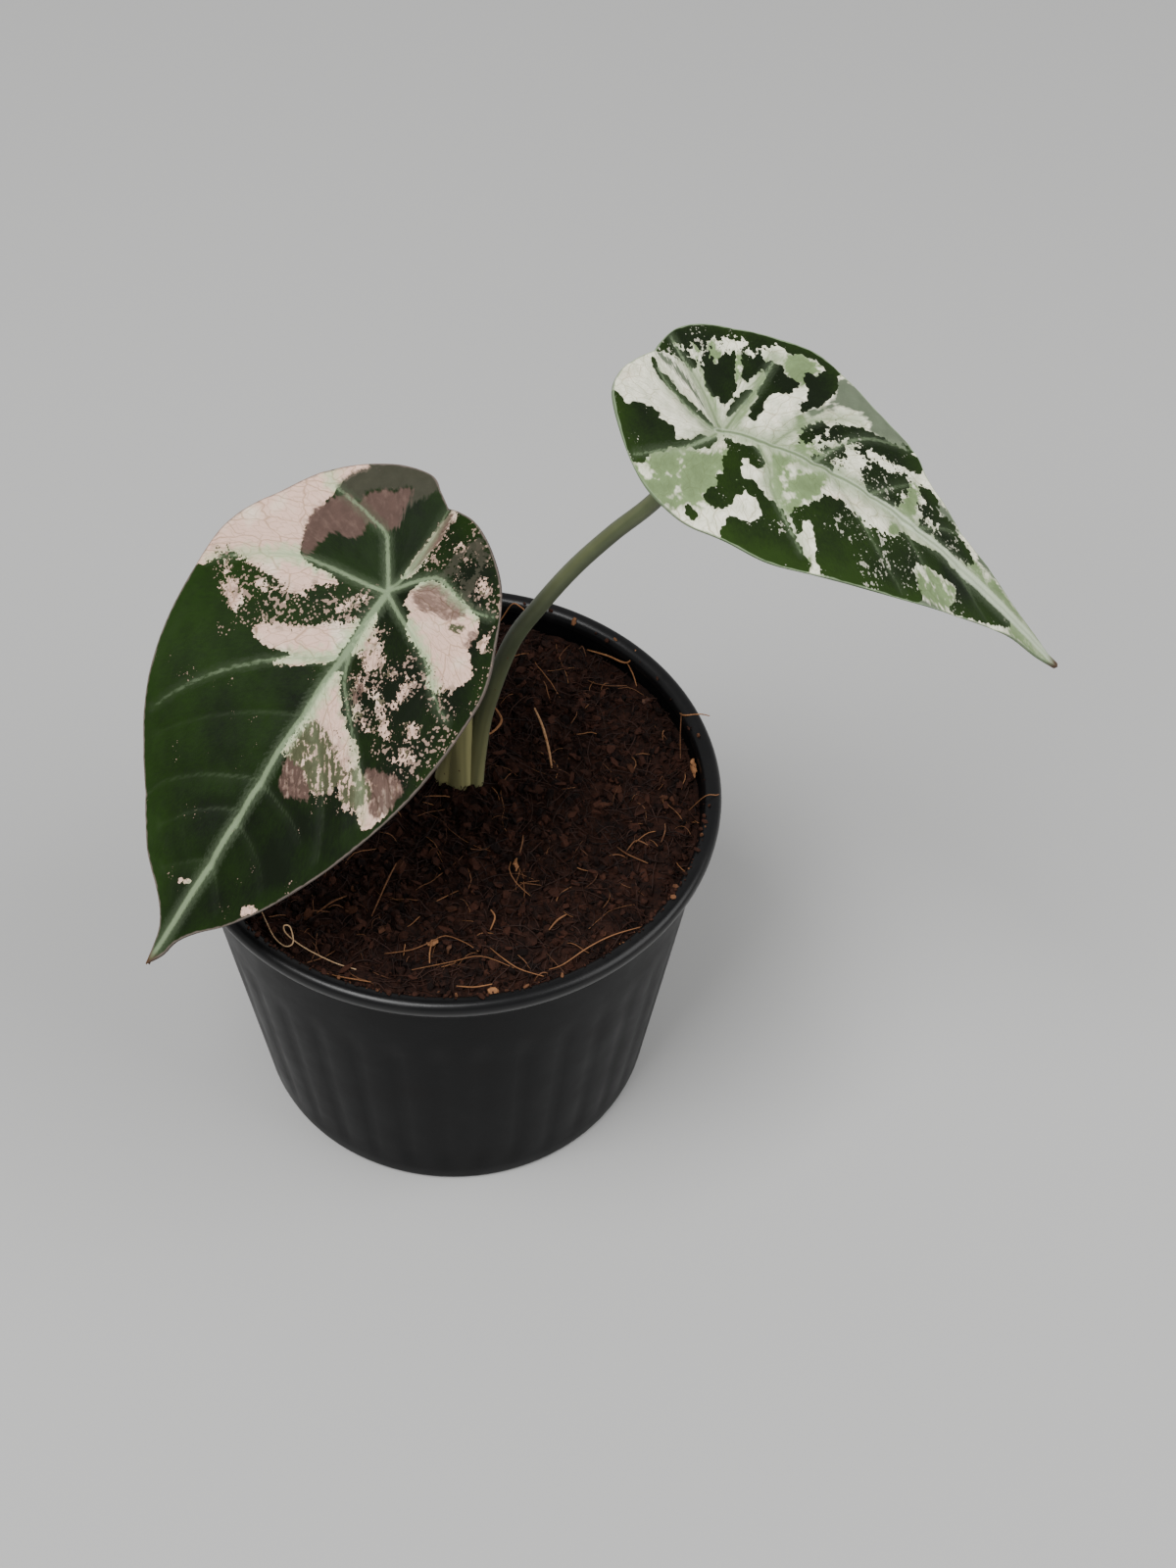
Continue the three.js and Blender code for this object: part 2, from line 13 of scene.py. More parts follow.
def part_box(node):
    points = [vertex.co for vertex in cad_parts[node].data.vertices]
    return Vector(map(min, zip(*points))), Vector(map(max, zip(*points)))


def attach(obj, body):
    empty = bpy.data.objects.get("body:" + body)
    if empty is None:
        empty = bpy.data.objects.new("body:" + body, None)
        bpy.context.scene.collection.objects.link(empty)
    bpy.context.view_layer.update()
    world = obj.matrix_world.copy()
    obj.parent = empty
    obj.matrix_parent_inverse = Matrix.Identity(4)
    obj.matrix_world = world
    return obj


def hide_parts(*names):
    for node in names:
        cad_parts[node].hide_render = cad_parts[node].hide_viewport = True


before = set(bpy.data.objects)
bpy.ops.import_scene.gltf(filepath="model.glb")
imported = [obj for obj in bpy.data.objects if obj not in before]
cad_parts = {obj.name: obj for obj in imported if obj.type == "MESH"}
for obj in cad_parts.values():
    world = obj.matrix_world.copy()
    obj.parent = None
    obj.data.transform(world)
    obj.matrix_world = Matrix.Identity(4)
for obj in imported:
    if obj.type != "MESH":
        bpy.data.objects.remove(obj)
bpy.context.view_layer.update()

bl_info = {
    "name": "Potted alocasia",
    "version": (1, 0, 0),
    "blender": (4, 5, 0),
    "location": "View3D > Sidebar > Alocasia",
    "description": "Makes a potted variegated alocasia, its soil, its pot and a plain studio",
    "category": "Add Mesh",
}

MM = 0.001
POT_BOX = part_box("pot")
POT_HEIGHT_MM = round(POT_BOX[1][2] / MM, 1)
RIM_RADIUS_MM = round((POT_BOX[1][0] - POT_BOX[0][0]) / MM / 2, 1)

# Blades, in millimetres and degrees, with the same measures as the solids. A station is a transverse line:
# foot is where it leaves the midrib, minus and plus are where it meets the two edges. The first is the notch,
# the last the tip.
BLADES = {
    "leaf_left": {
        "hub": (-9.9, -4.5, 142.0),
        "heading": -133.0,
        "dip": 32.0,
        "roll": 1.5,
        "lobe_rise": 0.15,
        "arch": 0.0048,
        "arch_change": -0.00005,
        "fold": -0.18,
        "curl_minus": 0.004,
        "curl_plus": 0.004,
        "wave_phase": 0.6,
        "foot": (0, 0, 0, 0, 0, 0, 0, 0, 4, 10, 18, 27, 37, 48, 59, 68, 76, 83.2),
        "minus": ((-18.4, 0), (-19.9, -3), (-21.3, -6.7), (-18.6, -14), (-11.5, -23), (-3, -28.8),
                  (6, -34.5), (14, -36.3), (24, -34.7), (34, -31.7), (44, -27.7), (52, -22.4),
                  (59, -17.2), (66, -11.5), (71.5, -5), (75.5, -2), (79.5, -1), (83.2, -0.4)),
        "plus": ((-18.4, 0), (-19, 3.2), (-18.9, 8.1), (-16.3, 14.9), (-11.9, 21.4), (-4.4, 27.1),
                 (4.5, 32.1), (14, 32.7), (24, 31.4), (34, 29), (44, 25.8), (52, 22), (60, 17),
                 (67, 11.4), (72, 6.3), (76, 3.2), (79.8, 1.9), (83.2, -0.4)),
    },
    "leaf_right": {
        "hub": (48.4, 1.8, 178.0),
        "heading": -6.5,
        "dip": 10.5,
        "roll": 4.0,
        "lobe_rise": 0.58,
        "arch": 0.019,
        "arch_change": -0.00026,
        "fold": -0.06,
        "curl_minus": 0.014,
        "curl_plus": -0.001,
        "wave_phase": 2.0,
        "foot": (0, 0, 0, 0, 0, 0, 0, 1.5, 5, 10, 17, 25, 34, 44, 54, 64, 75, 85.6),
        "minus": ((-15.5, 9.2), (-18.4, 5.6), (-21, 1), (-21.5, -5), (-17.5, -13), (-12, -18.5),
                  (-5, -20.7), (4, -21.8), (13, -23.2), (22, -21.9), (31, -19.5), (40, -16.3),
                  (49, -12.7), (57, -9.6), (65, -6.3), (71.5, -4), (79, -2.8), (85.6, -1)),
        "plus": ((-15.5, 9.2), (-14.7, 11.8), (-12.6, 16), (-9, 19.2), (-4, 21.6), (2, 22.7), (9, 23.6),
                 (15, 23.8), (21.8, 21.4), (30, 17.9), (37.5, 15.7), (42, 12.2), (48, 9.4), (55, 6.9),
                 (62, 5.2), (69, 3.2), (77, 1.5), (85.6, -1)),
    },
}
HUB_SOFTNESS = 4.0
LOBE_CURL = 0.012
WAVE_HEIGHT = 0.9
WAVE_LENGTH = 46.0
WAVE_SHIFT = 2.1
# How far from the midrib the edge's wave has its full height
WAVE_REACH = 30
# How early a transverse line sweeps to the edge, where that lies behind its foot and where it lies ahead
BACK_LEAD = 0.8
FRONT_LEAD = 0.3

# The grid of each half blade, and the span along the blade over which its bend is summed up
BLADE_LINES = 238
BLADE_COLUMNS = 66
BLADE_SPAN = (-30, 100)
# The place that streaks and net follow: millimetres from line to line, and from the midrib to the edge
LAY_PER_LINE = 6.0
LAY_PER_SIDE = 34.0
# How far in from its edge the blade gets thinner, and to what share
MARGIN_TAPER = 2.5
MARGIN_SHARE = 0.3

# Relief of the upper face: how far from a vein its trough reaches, and the swell and the ridges beside it
TROUGH_REACH = 0.75
SWELL_REACH = 4.5
SWELL_HEIGHT = 0.4
RIDGE_REACH = 0.8
RIDGE_HEIGHT = 0.2
RIPPLE_HEIGHT = 0.09
# Ribs under the blade: the midrib's half width at the tip and what it gains at the hub, and the side veins
RIB_TIP_WIDTH = 0.55
RIB_GAIN = 0.85
SIDE_RIB_WIDTH = 0.8
SIDE_RIB_HEIGHT = 0.75

# Veins as [along, across] on the blade, from the hub or midrib outwards. A midrib also has its half width.
MIDRIBS = {
    "leaf_left": ((-0.5, 0.2, 0.5), (4, 0.6, 0.8), (12, 0.8, 0.75), (30, 0.85, 0.6), (50, 0.9, 0.6),
                  (65, 0.8, 0.62), (77, 0.5, 0.56), (83, -0.2, 0.3)),
    "leaf_right": ((-0.5, 0.1, 0.4), (6, 0.3, 0.35), (25, 0.2, 0.45), (38, 0, 0.9), (52, -0.1, 1.1),
                   (66, -0.2, 1.2), (78, -0.4, 1.0), (85, -0.8, 0.7)),
}
# Each vein: how plainly it shows at its start and at its end, and its path
VEINS = {
    "leaf_left": (
        (1.0, 0.5, ((0, 0), (-5.9, -4.8), (-8, -6.8), (-8.8, -11.5), (-9.3, -17), (-9.6, -21.5),
                    (-11.5, -23))),
        (1.0, 0.4, ((0.6, -0.6), (1.6, -4.2), (2.9, -11.2), (4.8, -18.5), (8, -24.5), (12.8, -31.5),
                    (15.5, -34.5))),
        (0.75, 0.2, ((15.2, 0), (17.9, -3.7), (20.5, -8), (26.3, -14.6), (31.6, -19.4), (38, -23.6),
                     (43, -25.8))),
        (0.12, 0.03, ((42, 0), (44.2, -4.3), (48, -10.6), (53, -16), (57, -18))),
        (0.1, 0.02, ((48.8, 0), (51.2, -4.2), (55, -8.6), (60, -12.2))),
        (0.07, 0.02, ((28, 0), (30, -4), (34, -10), (40, -17), (46, -22))),
        (0.06, 0.02, ((60, 0), (62, -3), (66, -7))),
        (0.9, 0.4, ((0, 0.2), (-3.2, 1.1), (-8, 1.5), (-12.5, 1.2), (-18, 0.2))),
        (1.0, 0.8, ((-0.4, 0.6), (-4.2, 4), (-7, 7.5), (-7.2, 10.5), (-6.6, 14), (-6.3, 19), (-7.5, 23))),
        (1.0, 0.5, ((0.8, 1), (2.2, 5), (3.9, 11), (5.8, 16.5), (8.2, 20.5), (10.9, 25), (12, 29))),
        (0.7, 0.3, ((11.8, 1), (16.8, 3.2), (19.8, 6.4), (25.5, 14.4), (30, 20), (35.5, 25.2))),
        (0.13, 0.04, ((26, 1.5), (30, 7), (35, 13), (40, 18), (46, 22))),
        (0.13, 0.04, ((42.2, 1.2), (42.8, 6), (43.6, 11.5), (45.5, 16.5))),
        (0.08, 0.02, ((51, 1.5), (52, 6), (54, 11), (57, 15))),
        (0.08, 0.02, ((60, 1.2), (63, 5), (66, 8.5))),
    ),
    "leaf_right": (
        (0.8, 0.5, ((0, 0), (-2.4, 0.6), (-7.3, 2.3), (-11.2, 3.9), (-14, 6.2))),
        (1.0, 0.7, ((0, 0.4), (-2.7, 5), (-6, 8.6), (-9.9, 11.3), (-13, 14))),
        (1.0, 0.7, ((1, 1), (2.8, 6), (4.7, 10.4), (6.2, 15.2), (7.4, 19.5))),
        (0.9, 0.5, ((9.4, 0.4), (12.3, 4.9), (16, 9.2), (20.5, 12.4), (26, 15))),
        (0.7, 0.3, ((17.4, 0.2), (21.5, 6.2), (26.6, 11.4), (32.5, 14), (37, 15.2))),
        (0.4, 0.2, ((30, 0.6), (35, 5.5), (41, 10.5))),
        (0.4, 0.2, ((42, 0.8), (48, 5), (53, 7))),
        (1.0, 0.5, ((-0.6, -0.8), (-3.2, -3.9), (-6, -7), (-10, -10), (-15, -14))),
        (0.9, 0.5, ((7, -0.5), (9.4, -4), (10.6, -8.4), (13.8, -13.4), (18.5, -18.8))),
        (0.5, 0.15, ((21.6, 0), (26.5, -3.8), (31.5, -8.4), (36.5, -12), (41, -14.6))),
        (0.25, 0.1, ((38, -1), (44, -5.4), (50, -9), (55, -10))),
        (0.2, 0.05, ((54, -1), (60, -4), (65, -6))),
    ),
}
# Half width of a side vein at its start and at its end
VEIN_WIDTH = (0.3, 0.1)

# Markings: the outline of each patch, [along, across] on the blade. Cream lies on green, sage on both, mint
# and mauve on those, and the green islands over all. Lace is where the edges are broken up most.
MARKINGS = {
    "leaf_left": {
        "cream": (
            ((-16, -17), (-12.5, -18.8), (-9.5, -20), (-5.5, -20), (-2, -20.6), (2, -19.6), (4.6, -18.2),
             (4.6, -14), (4, -10.5), (4.6, -9), (6.3, -10.3), (7.2, -12.3), (9.8, -12), (11, -14),
             (11.4, -18), (11, -22), (11.8, -26.5), (11.6, -29), (12.8, -32), (15, -33.2), (17.5, -36.5),
             (12, -38), (3, -36), (-6, -31), (-13, -25.5)),
            ((7.2, -0.6), (16.4, -0.6), (18, -3.4), (20.3, -6.2), (20.1, -8.6), (21.2, -12.5),
             (21.5, -15.5), (19.8, -18.4), (18, -16.6), (16.4, -15), (16.2, -12.6), (14, -10.2),
             (13.3, -8), (10.6, -6), (9.6, -3.2)),
            ((16.6, -1), (19.6, -4.3), (21.6, -7.3), (23.6, -10.4), (21.6, -9.6), (18.6, -6.2),
             (16.6, -3.5)),
            ((15.7, -24.4), (17, -22.6), (19.6, -22.5), (20, -24.6), (18.9, -26.4), (18.6, -28.2),
             (17, -29), (15.6, -28), (15.3, -26.4)),
            ((13.9, -28.8), (15.6, -28.9), (15.4, -30.6), (14, -31)),
            ((3.6, -2.2), (6.6, -3.4), (8.8, -5.6), (6.6, -5.6), (4.6, -4)),
            ((12.6, -13.6), (14.8, -14.4), (15.6, -16.4), (13.4, -16.2)),
            ((12.2, -19.4), (14.2, -19.8), (13.8, -22.6), (12.3, -22.4)),
            ((65.2, -1.2), (66, -1.3), (66.7, -2.8), (65.9, -2.9)),
            ((-18.8, 1), (-13, 0.9), (-6, 0.7), (-3.2, 0.9), (-5, 2.9), (-9, 3.6), (-14, 3.6),
             (-18.6, 2.6)),
            ((-4.8, 5.2), (-6.9, 8.6), (-6.9, 13), (-6.5, 18), (-5.8, 21), (-3.6, 22.8), (-1, 23),
             (1.2, 25.4), (2.6, 27.6), (5, 27.4), (7.6, 25.6), (9.5, 24), (9.6, 21.4), (8.8, 19.6),
             (6.3, 18), (5.4, 14.6), (4.4, 10.4), (3, 8.4), (1.8, 8.2), (0.8, 5.6), (-1.4, 4.8)),
            ((4.6, 1.2), (6.6, 3.6), (9, 7.6), (10.8, 9.8), (13.4, 9.2), (14, 6.6), (12.9, 4.2),
             (12.4, 1.2)),
            ((9.4, 15.6), (11, 18.1), (14, 18.7), (16.5, 18), (16.4, 16.9), (12.6, 16.4)),
            ((15, 6.4), (16, 9.6), (15.4, 13.4), (17, 16), (18.6, 19), (20.4, 20.6), (21.3, 19.4),
             (20.8, 17), (22.2, 15), (21.4, 12.6), (22, 10.6), (20, 8.8), (19.4, 7.2)),
            ((15.7, 23.4), (15.9, 25.1), (18, 25.6), (18.9, 24.1), (17.4, 22), (16.4, 22)),
            ((20.1, 25), (20.6, 27.6), (22, 26.7), (23.4, 24.5), (22, 23.8)),
            ((17.8, 1.2), (19.8, 5), (22.6, 8.6), (24.8, 12.6), (25.2, 15), (27.6, 17.6), (28.6, 20),
             (27, 22.4), (26.2, 25.6), (26.2, 27.9), (30, 28.4), (34, 27.9), (36.4, 26), (35.1, 23),
             (35.7, 20.4), (34.2, 17), (35.1, 13.7), (37.2, 13.4), (38.8, 11), (39.9, 8.6), (39.8, 5.6),
             (37.4, 4.6), (35.2, 3), (33, 1.2)),
            ((-12.3, 17.4), (-10.6, 20), (-9.5, 17.2), (-10.6, 15.7)),
            ((-14.7, 9.6), (-13.9, 7.1), (-13, 9.1)),
            ((-4.6, 24.8), (-2.2, 26.8), (-1, 25.2), (-2.6, 24.2)),
            ((60.2, 16.2), (61.6, 15.4), (63.4, 13.9), (62, 13.2), (60.6, 14.2)),
            ((10.8, 12.6), (11.6, 14.4), (12.3, 12.2), (11.6, 11)),
        ),
        "sage": (
            ((-22.5, -3.8), (-17.6, -4.6), (-15, -6), (-10.4, -5.7), (-9, -7.2), (-13, -7), (-17.3, -8),
             (-15.2, -10.2), (-13.6, -13), (-12, -14.6), (-9.7, -14.6), (-9.4, -20.2), (-13.2, -19),
             (-16.6, -16.6), (-22, -11)),
            ((-6, 5.6), (-6.8, 9.6), (-6.7, 13.2), (-6.6, 16.4), (-6.9, 20), (-8, 21.6), (-8, 17.6),
             (-10, 16.6), (-13, 15), (-15.2, 15.2), (-16.8, 12.4), (-17.4, 10.4), (-15.4, 9.4),
             (-13.4, 9), (-11.4, 8.2), (-9.2, 8.2), (-7.6, 7.2)),
        ),
        "mint": (
            ((27.2, 2.4), (27, 8), (28.6, 12.6), (31, 16.6), (34.6, 16.4), (36.6, 13.4), (38.4, 11),
             (39.2, 7), (37, 4.6), (34, 2.4)),
            ((28.2, 17.8), (28.6, 21), (30.4, 24.4), (34.8, 22.4), (34.8, 18), (31, 17.2)),
            ((-3.4, 19.8), (-1.4, 19.6), (-1.2, 17), (-2.6, 17)),
        ),
        "mauve": (
            ((-17.2, -7.8), (-13, -6.2), (-9.2, -6), (-8.4, -8), (-8, -10.5), (-5, -10.5), (-3, -13),
             (-2.4, -15.4), (0, -16.4), (2.4, -16.6), (4.4, -17.4), (3, -19.4), (-1.6, -21),
             (-4.2, -20.6), (-9.2, -18.4), (-9.8, -14.6), (-12, -14.2), (-14, -12), (-15.4, -9.8)),
            ((-17.6, 0.8), (-12, 0.9), (-6, 0.8), (-5, 2.2), (-9, 3.2), (-14, 3.3), (-17.6, 2.4)),
            ((-6.4, 7.6), (-6.6, 13), (-6.3, 17.2), (-3.8, 17.6), (-2.2, 15.6), (-1.5, 12), (-0.8, 8.4),
             (-1.8, 5.8), (-4, 5.8)),
            ((-4.2, 22.8), (-3.6, 21.4), (-1.4, 21.6), (-0.5, 22.7), (-2, 23.2)),
            ((28.4, 19.2), (26.2, 22.2), (25.4, 25.6), (25.6, 28.4), (30, 29), (33, 27.2), (33.2, 25.4),
             (31, 23.8), (29.4, 22)),
            ((35, 5.4), (36, 9.4), (37.2, 12.4), (39.2, 12.4), (40.7, 9), (40.6, 5.4), (38, 3.8),
             (35.4, 3.2)),
            ((16, 8), (17.4, 9.8), (20.4, 9.4), (18.6, 7.4)),
        ),
        "green": (
            ((10.4, -5.2), (13.4, -8.2), (15.9, -11.6), (16.7, -14.6), (18.6, -17), (19.8, -18.8),
             (19.6, -21.6), (16, -21.4), (15.2, -18.8), (13.2, -18.6), (12.3, -15), (10.4, -12.2),
             (8.4, -12.6), (6.6, -10.8), (5.4, -8.6), (6.4, -6.4)),
            ((14, -21.4), (15.4, -24), (14.9, -27), (13.6, -26.4), (12.9, -24)),
            ((11.6, -27.2), (13.4, -27), (13.6, -29.4), (13.8, -31.6), (12.2, -31.4)),
            ((17.1, 9.8), (17.4, 13.4), (19.4, 16.2), (20.9, 17.2), (21.3, 13.4), (19.8, 12), (18.6, 9.6)),
            ((13.6, 2.2), (14, 5.2), (16, 6.4), (18, 6.6), (19.2, 5.8), (17.4, 3), (15.6, 2)),
            ((20.9, 9.3), (23.3, 12.7), (24.4, 14.4), (24.6, 12.4), (22.2, 8.9)),
            ((0.4, 5), (0.8, 7.8), (1.7, 7.6), (1.8, 5)),
            ((-9.1, 10.3), (-7.6, 10), (-7.1, 11.4), (-7.2, 13.2), (-8.5, 14), (-9.4, 12.6)),
            ((-13.4, 10.6), (-11.4, 10.3), (-10.6, 12), (-10.6, 14), (-12.4, 14.2), (-13.7, 12.4)),
            ((-8.6, 17.6), (-7.6, 16.8), (-7.2, 19), (-7.6, 21), (-9.2, 20.4)),
        ),
        "lace": (
            ((2, -1), (8, -1), (14, -8), (20, -18), (20, -28), (15, -35), (11, -33), (10, -16), (4, -9)),
            ((5, 3), (6, 18), (10, 33), (24, 32), (26, 20), (22, 8), (14, 2)),
            ((-19, 4), (-17, 16), (-10, 24), (0, 31), (9, 34), (12, 29), (3, 28), (-6, 22), (-7, 8),
             (-8, 3)),
            ((27, 2), (27, 18), (34, 24), (40, 12), (37, 3)),
        ),
    },
    "leaf_right": {
        "cream": (((-30, -30), (95, -30), (95, 30), (-30, 30)),),
        "sage": (
            ((14.8, 10.8), (18.4, 14), (19.6, 17), (19.6, 20.8), (24, 20.9), (30, 18.8), (37, 16.5),
             (35, 14), (30, 13.6), (27.9, 13.9), (27.6, 15.7), (25, 16.1), (21, 15.2), (18.4, 12.6),
             (16.6, 10.6)),
            ((-15.2, 8.6), (-11, 7.4), (-6.6, 5.4), (-3, 3), (-6, 6), (-9.6, 8.4), (-14, 9.6)),
            ((45.6, 9.6), (49.8, 8.8), (52.6, 7.2), (48.4, 7.4), (45.8, 7.6)),
            ((42, -13.4), (46, -12.5), (52, -11), (53, -10), (49, -13.6), (44, -15.4)),
            ((58, 4.4), (60, 6.2), (66, 4.6), (70, 3), (64, 4)),
        ),
        "mint": (
            ((-14.6, -15.2), (-11.6, -11.4), (-8.4, -8.4), (-5, -6.6), (-1.8, -6), (0.2, -4.2),
             (2.4, -3.6), (3, -6), (2.4, -9), (4.8, -9.6), (5.2, -11.8), (4, -13.4), (3.4, -15.6),
             (0.4, -16.6), (-1, -17.6), (-3.4, -17.8), (-5, -19.8), (-10, -20.4), (-14, -18)),
            ((10.2, -0.9), (20.6, -0.7), (21, -2.6), (20, -5), (19.4, -7.6), (17.2, -9.4), (15.8, -12.6),
             (13.2, -12.4), (10.8, -9.4), (10.2, -5)),
            ((42.6, -7.4), (45, -5.7), (48, -6), (53.3, -5.2), (53.6, -8.2), (52.5, -10.7), (48, -12),
             (44.2, -13), (42.4, -12), (43, -9.5)),
            ((34.6, -3.4), (36, -2), (37.8, -2.6), (37, -5), (35, -5.6)),
            ((6, 18.6), (7.3, 16.4), (6.4, 13), (5, 9), (3.2, 3), (1.8, 1.6), (2.6, 6), (4.3, 11),
             (4.8, 15)),
            ((9, 17.4), (8.8, 20.6), (12, 22.4), (15.6, 22.2), (16.2, 20), (14.4, 18.2), (13.2, 15.4),
             (11, 15.2)),
            ((-6.6, 13), (-5.4, 17.6), (-2.8, 16.2), (-3.4, 13.2)),
            ((0.2, 16.4), (1.6, 18.2), (2.2, 14), (1.6, 10.6), (0.4, 13.6)),
            ((-1, 3), (-4, 8), (-7.4, 12), (-9, 15.6), (-6.8, 14.8), (-4.4, 9.4), (-2, 6.4)),
            ((36, 0.9), (37.4, 4.6), (38.6, 9.4), (41.2, 9), (41.2, 3.4), (43.4, 2.8), (42, 0.9)),
            ((13.4, 1), (14, 4.6), (12.6, 8.6), (14.6, 9.4), (17, 5), (20.6, 2.6), (20.6, 0.9)),
            ((56.6, 0.9), (57, 4), (62, 4.2), (68, 3.2), (74, 1.7), (66, 0.8)),
            ((70, -1.2), (74, -0.8), (84, -1.4), (84, -3), (74, -3.6), (70, -4)),
            ((15.6, -15.4), (19.8, -18.2), (20.8, -21), (18.6, -20.6), (15.6, -17.6)),
        ),
        "mauve": (),
        "green": (
            ((-22.5, -4.6), (-20, -4.4), (-18.5, -5), (-16.5, -3.8), (-13, -3.2), (-12, -4.6), (-9, -4.2),
             (-8.3, -5.6), (-8.4, -7.5), (-9.6, -9.6), (-12, -12), (-13.6, -14.8), (-16, -15.4),
             (-20, -12.5), (-23, -8)),
            ((-9, -7.4), (-6.6, -5.6), (-4.6, -4), (-3.6, -2.6), (-1.4, -2), (-0.4, -0.9), (-1, -3.6),
             (-3, -5.4), (-6, -6.6), (-8, -7.8)),
            ((0.8, -1), (3, -1.9), (4.6, -1.8), (6.6, -1), (8.4, -2.5), (8.2, -5), (6.6, -6.2),
             (5.6, -4.4), (4.6, -5), (4.6, -8), (5, -9.6), (2, -9.9), (1.4, -6.4), (2, -4.2)),
            ((-0.6, -13.6), (2, -12), (4.2, -13.3), (3.6, -15), (1.6, -16.4), (-0.4, -15.6)),
            ((0.8, -10), (2, -12.6), (5.6, -12.6), (5.2, -10.4), (3, -9.6)),
            ((5.5, -9.2), (7.4, -9.2), (8.8, -10.2), (10, -11.4), (12, -11.6), (14.2, -12.8), (15.6, -15),
             (18, -17.8), (19.8, -19.6), (20.4, -21.6), (16, -24.6), (8, -24), (3.6, -22.4), (4, -18),
             (5, -17), (7, -17.2), (9, -16.4), (9.8, -14.6), (8.4, -12.4), (6, -11.4)),
            ((-3, -17.7), (-1.5, -18.4), (-1.4, -19.8), (-3.2, -19.3)),
            ((15.4, -12), (16.8, -10.2), (18.4, -9), (20, -6.8), (21.6, -5.4), (24, -5.4), (26.5, -6.1),
             (28.6, -5.8), (29.8, -7.4), (31.2, -6.8), (34.6, -6.3), (37.6, -5.4), (38, -2.7), (42, -2.5),
             (45.6, -2), (48, -1.2), (52, -1.8), (57, -0.9), (62, -0.7), (66, -1), (70, -1.9),
             (68.6, -3.2), (65, -5.1), (60, -7.9), (55, -9.9), (53.2, -9.9), (54, -7), (53, -5.2),
             (48, -5.4), (43, -6.5), (42, -9), (43.6, -11), (45, -13.6), (42, -16.6), (38, -18.4),
             (32, -20.6), (27, -22.6), (24, -22.4), (22, -19.6), (20.6, -16.4), (20, -14), (18.6, -12.2),
             (17.6, -13), (17.4, -15.4), (16, -14.4)),
            ((-15.8, 7.6), (-14.6, 5.6), (-12, 4), (-8, 2.5), (-4, 1.5), (-0.8, 0.2), (-2.4, 1.7),
             (-6, 3.2), (-9, 3.8), (-11, 5.2), (-13.4, 6.2)),
            ((-15.6, 9.8), (-15.4, 12), (-13.8, 16), (-10, 20), (-5, 23), (2, 24), (9, 25), (15, 25.4),
             (20, 22.6), (18.4, 21), (17, 21.2), (14.6, 22.5), (11, 21.8), (9.5, 21.4), (7, 22.3),
             (5, 20.8), (3, 19.6), (1.2, 20.6), (-2, 20.4), (-3.6, 19.6), (-4.6, 18.3), (-6, 19),
             (-6.2, 16), (-9, 15.2), (-10, 13.6), (-12, 14), (-12.8, 12.2), (-13, 10.6)),
            ((-13.6, 12.2), (-10, 12.6), (-7.4, 11.6), (-7.8, 10), (-10, 11.1), (-13, 11.3)),
            ((-6.4, 14.4), (-5, 14.6), (-3.4, 13), (-2.6, 15), (-2, 16.1), (0.3, 16.3), (0.5, 13.5),
             (1.5, 10.5), (0.8, 8), (0, 5.8), (-1.5, 7.2), (-3, 6.8), (-4.5, 9), (-5.6, 12)),
            ((1.4, 17.8), (3, 17.5), (4, 18.5), (5.8, 17), (5, 15.4), (4, 14), (3, 12.4), (2, 13),
             (1.8, 15.5)),
            ((6.4, 18), (8.5, 18.1), (9.6, 16), (12, 15.6), (11.6, 13.5), (10, 12.4), (8, 11.4), (7, 9.6),
             (6.8, 7), (5.5, 4.4), (4.7, 5.4), (5.5, 9), (5.4, 12), (6.4, 14), (5.8, 16)),
            ((13.4, 19.5), (15, 18.8), (16.5, 20.8), (19, 21), (19.6, 19), (18.8, 16), (17, 13.4),
             (15, 11.4), (13.4, 10), (14, 13), (14.5, 15), (13.2, 16.5)),
            ((0.9, 3.8), (2.1, 5.5), (4, 8.5), (4.3, 10.9), (2.8, 9.6), (1.1, 6)),
            ((18, 6), (20.2, 8.2), (20, 10.2), (24, 12.4), (27, 13.4), (33, 14.1), (38, 14.9),
             (40.2, 14.2), (40.4, 12.4), (38, 11.4), (34, 10.4), (30, 10), (28.3, 10.2), (27.4, 8.2),
             (25.9, 8.1), (26, 9.8), (24, 9.7), (22, 8)),
            ((14.4, 4.3), (15.5, 7.1), (17, 9.1), (18.6, 10.1), (18.9, 8.4), (17, 5.9), (15.9, 4.4)),
            ((17.4, 1), (19.4, 3.6), (21.4, 6.6), (23.1, 7.6), (22.6, 5), (21.2, 2.6), (21.2, 0.9)),
            ((28, 3.4), (28.5, 6), (30, 7.6), (33, 7), (36, 8.9), (38.2, 9), (37.6, 6.4), (36, 4.5),
             (36, 2.4), (34, 0.9), (30, 0.8), (30, 2)),
            ((41.3, 9.9), (44, 10), (45.6, 8.6), (45.6, 6.9), (43, 7.1), (41.3, 8)),
            ((41.3, 5.2), (45, 6.6), (48, 7.4), (51, 7.1), (53.6, 5.6), (56.6, 4), (56, 2.8), (52, 1.1),
             (48, 1.1), (45, 1.9), (42.3, 0.9), (43.5, 2.9), (47, 3.3), (47.5, 5), (44, 4.7)),
            ((34.8, 16.2), (36.6, 15.8), (38.8, 15.4), (38, 15.1), (35.4, 15.3)),
        ),
        "lace": (
            ((-15, 10), (-8, 21), (5, 23), (6, 18), (-4, 15), (-8, 9)),
            ((14, 2), (18, 12), (30, 11), (40, 10), (56, 7), (56, 1), (30, 0.5)),
            ((20, -5), (32, -20), (44, -15), (40, -6)),
        ),
    },
}
# How far from its edge a patch's depth is told, and the width over which the lace begins
FIELD_REACH = 4.0
LACE_EDGE = 3.0
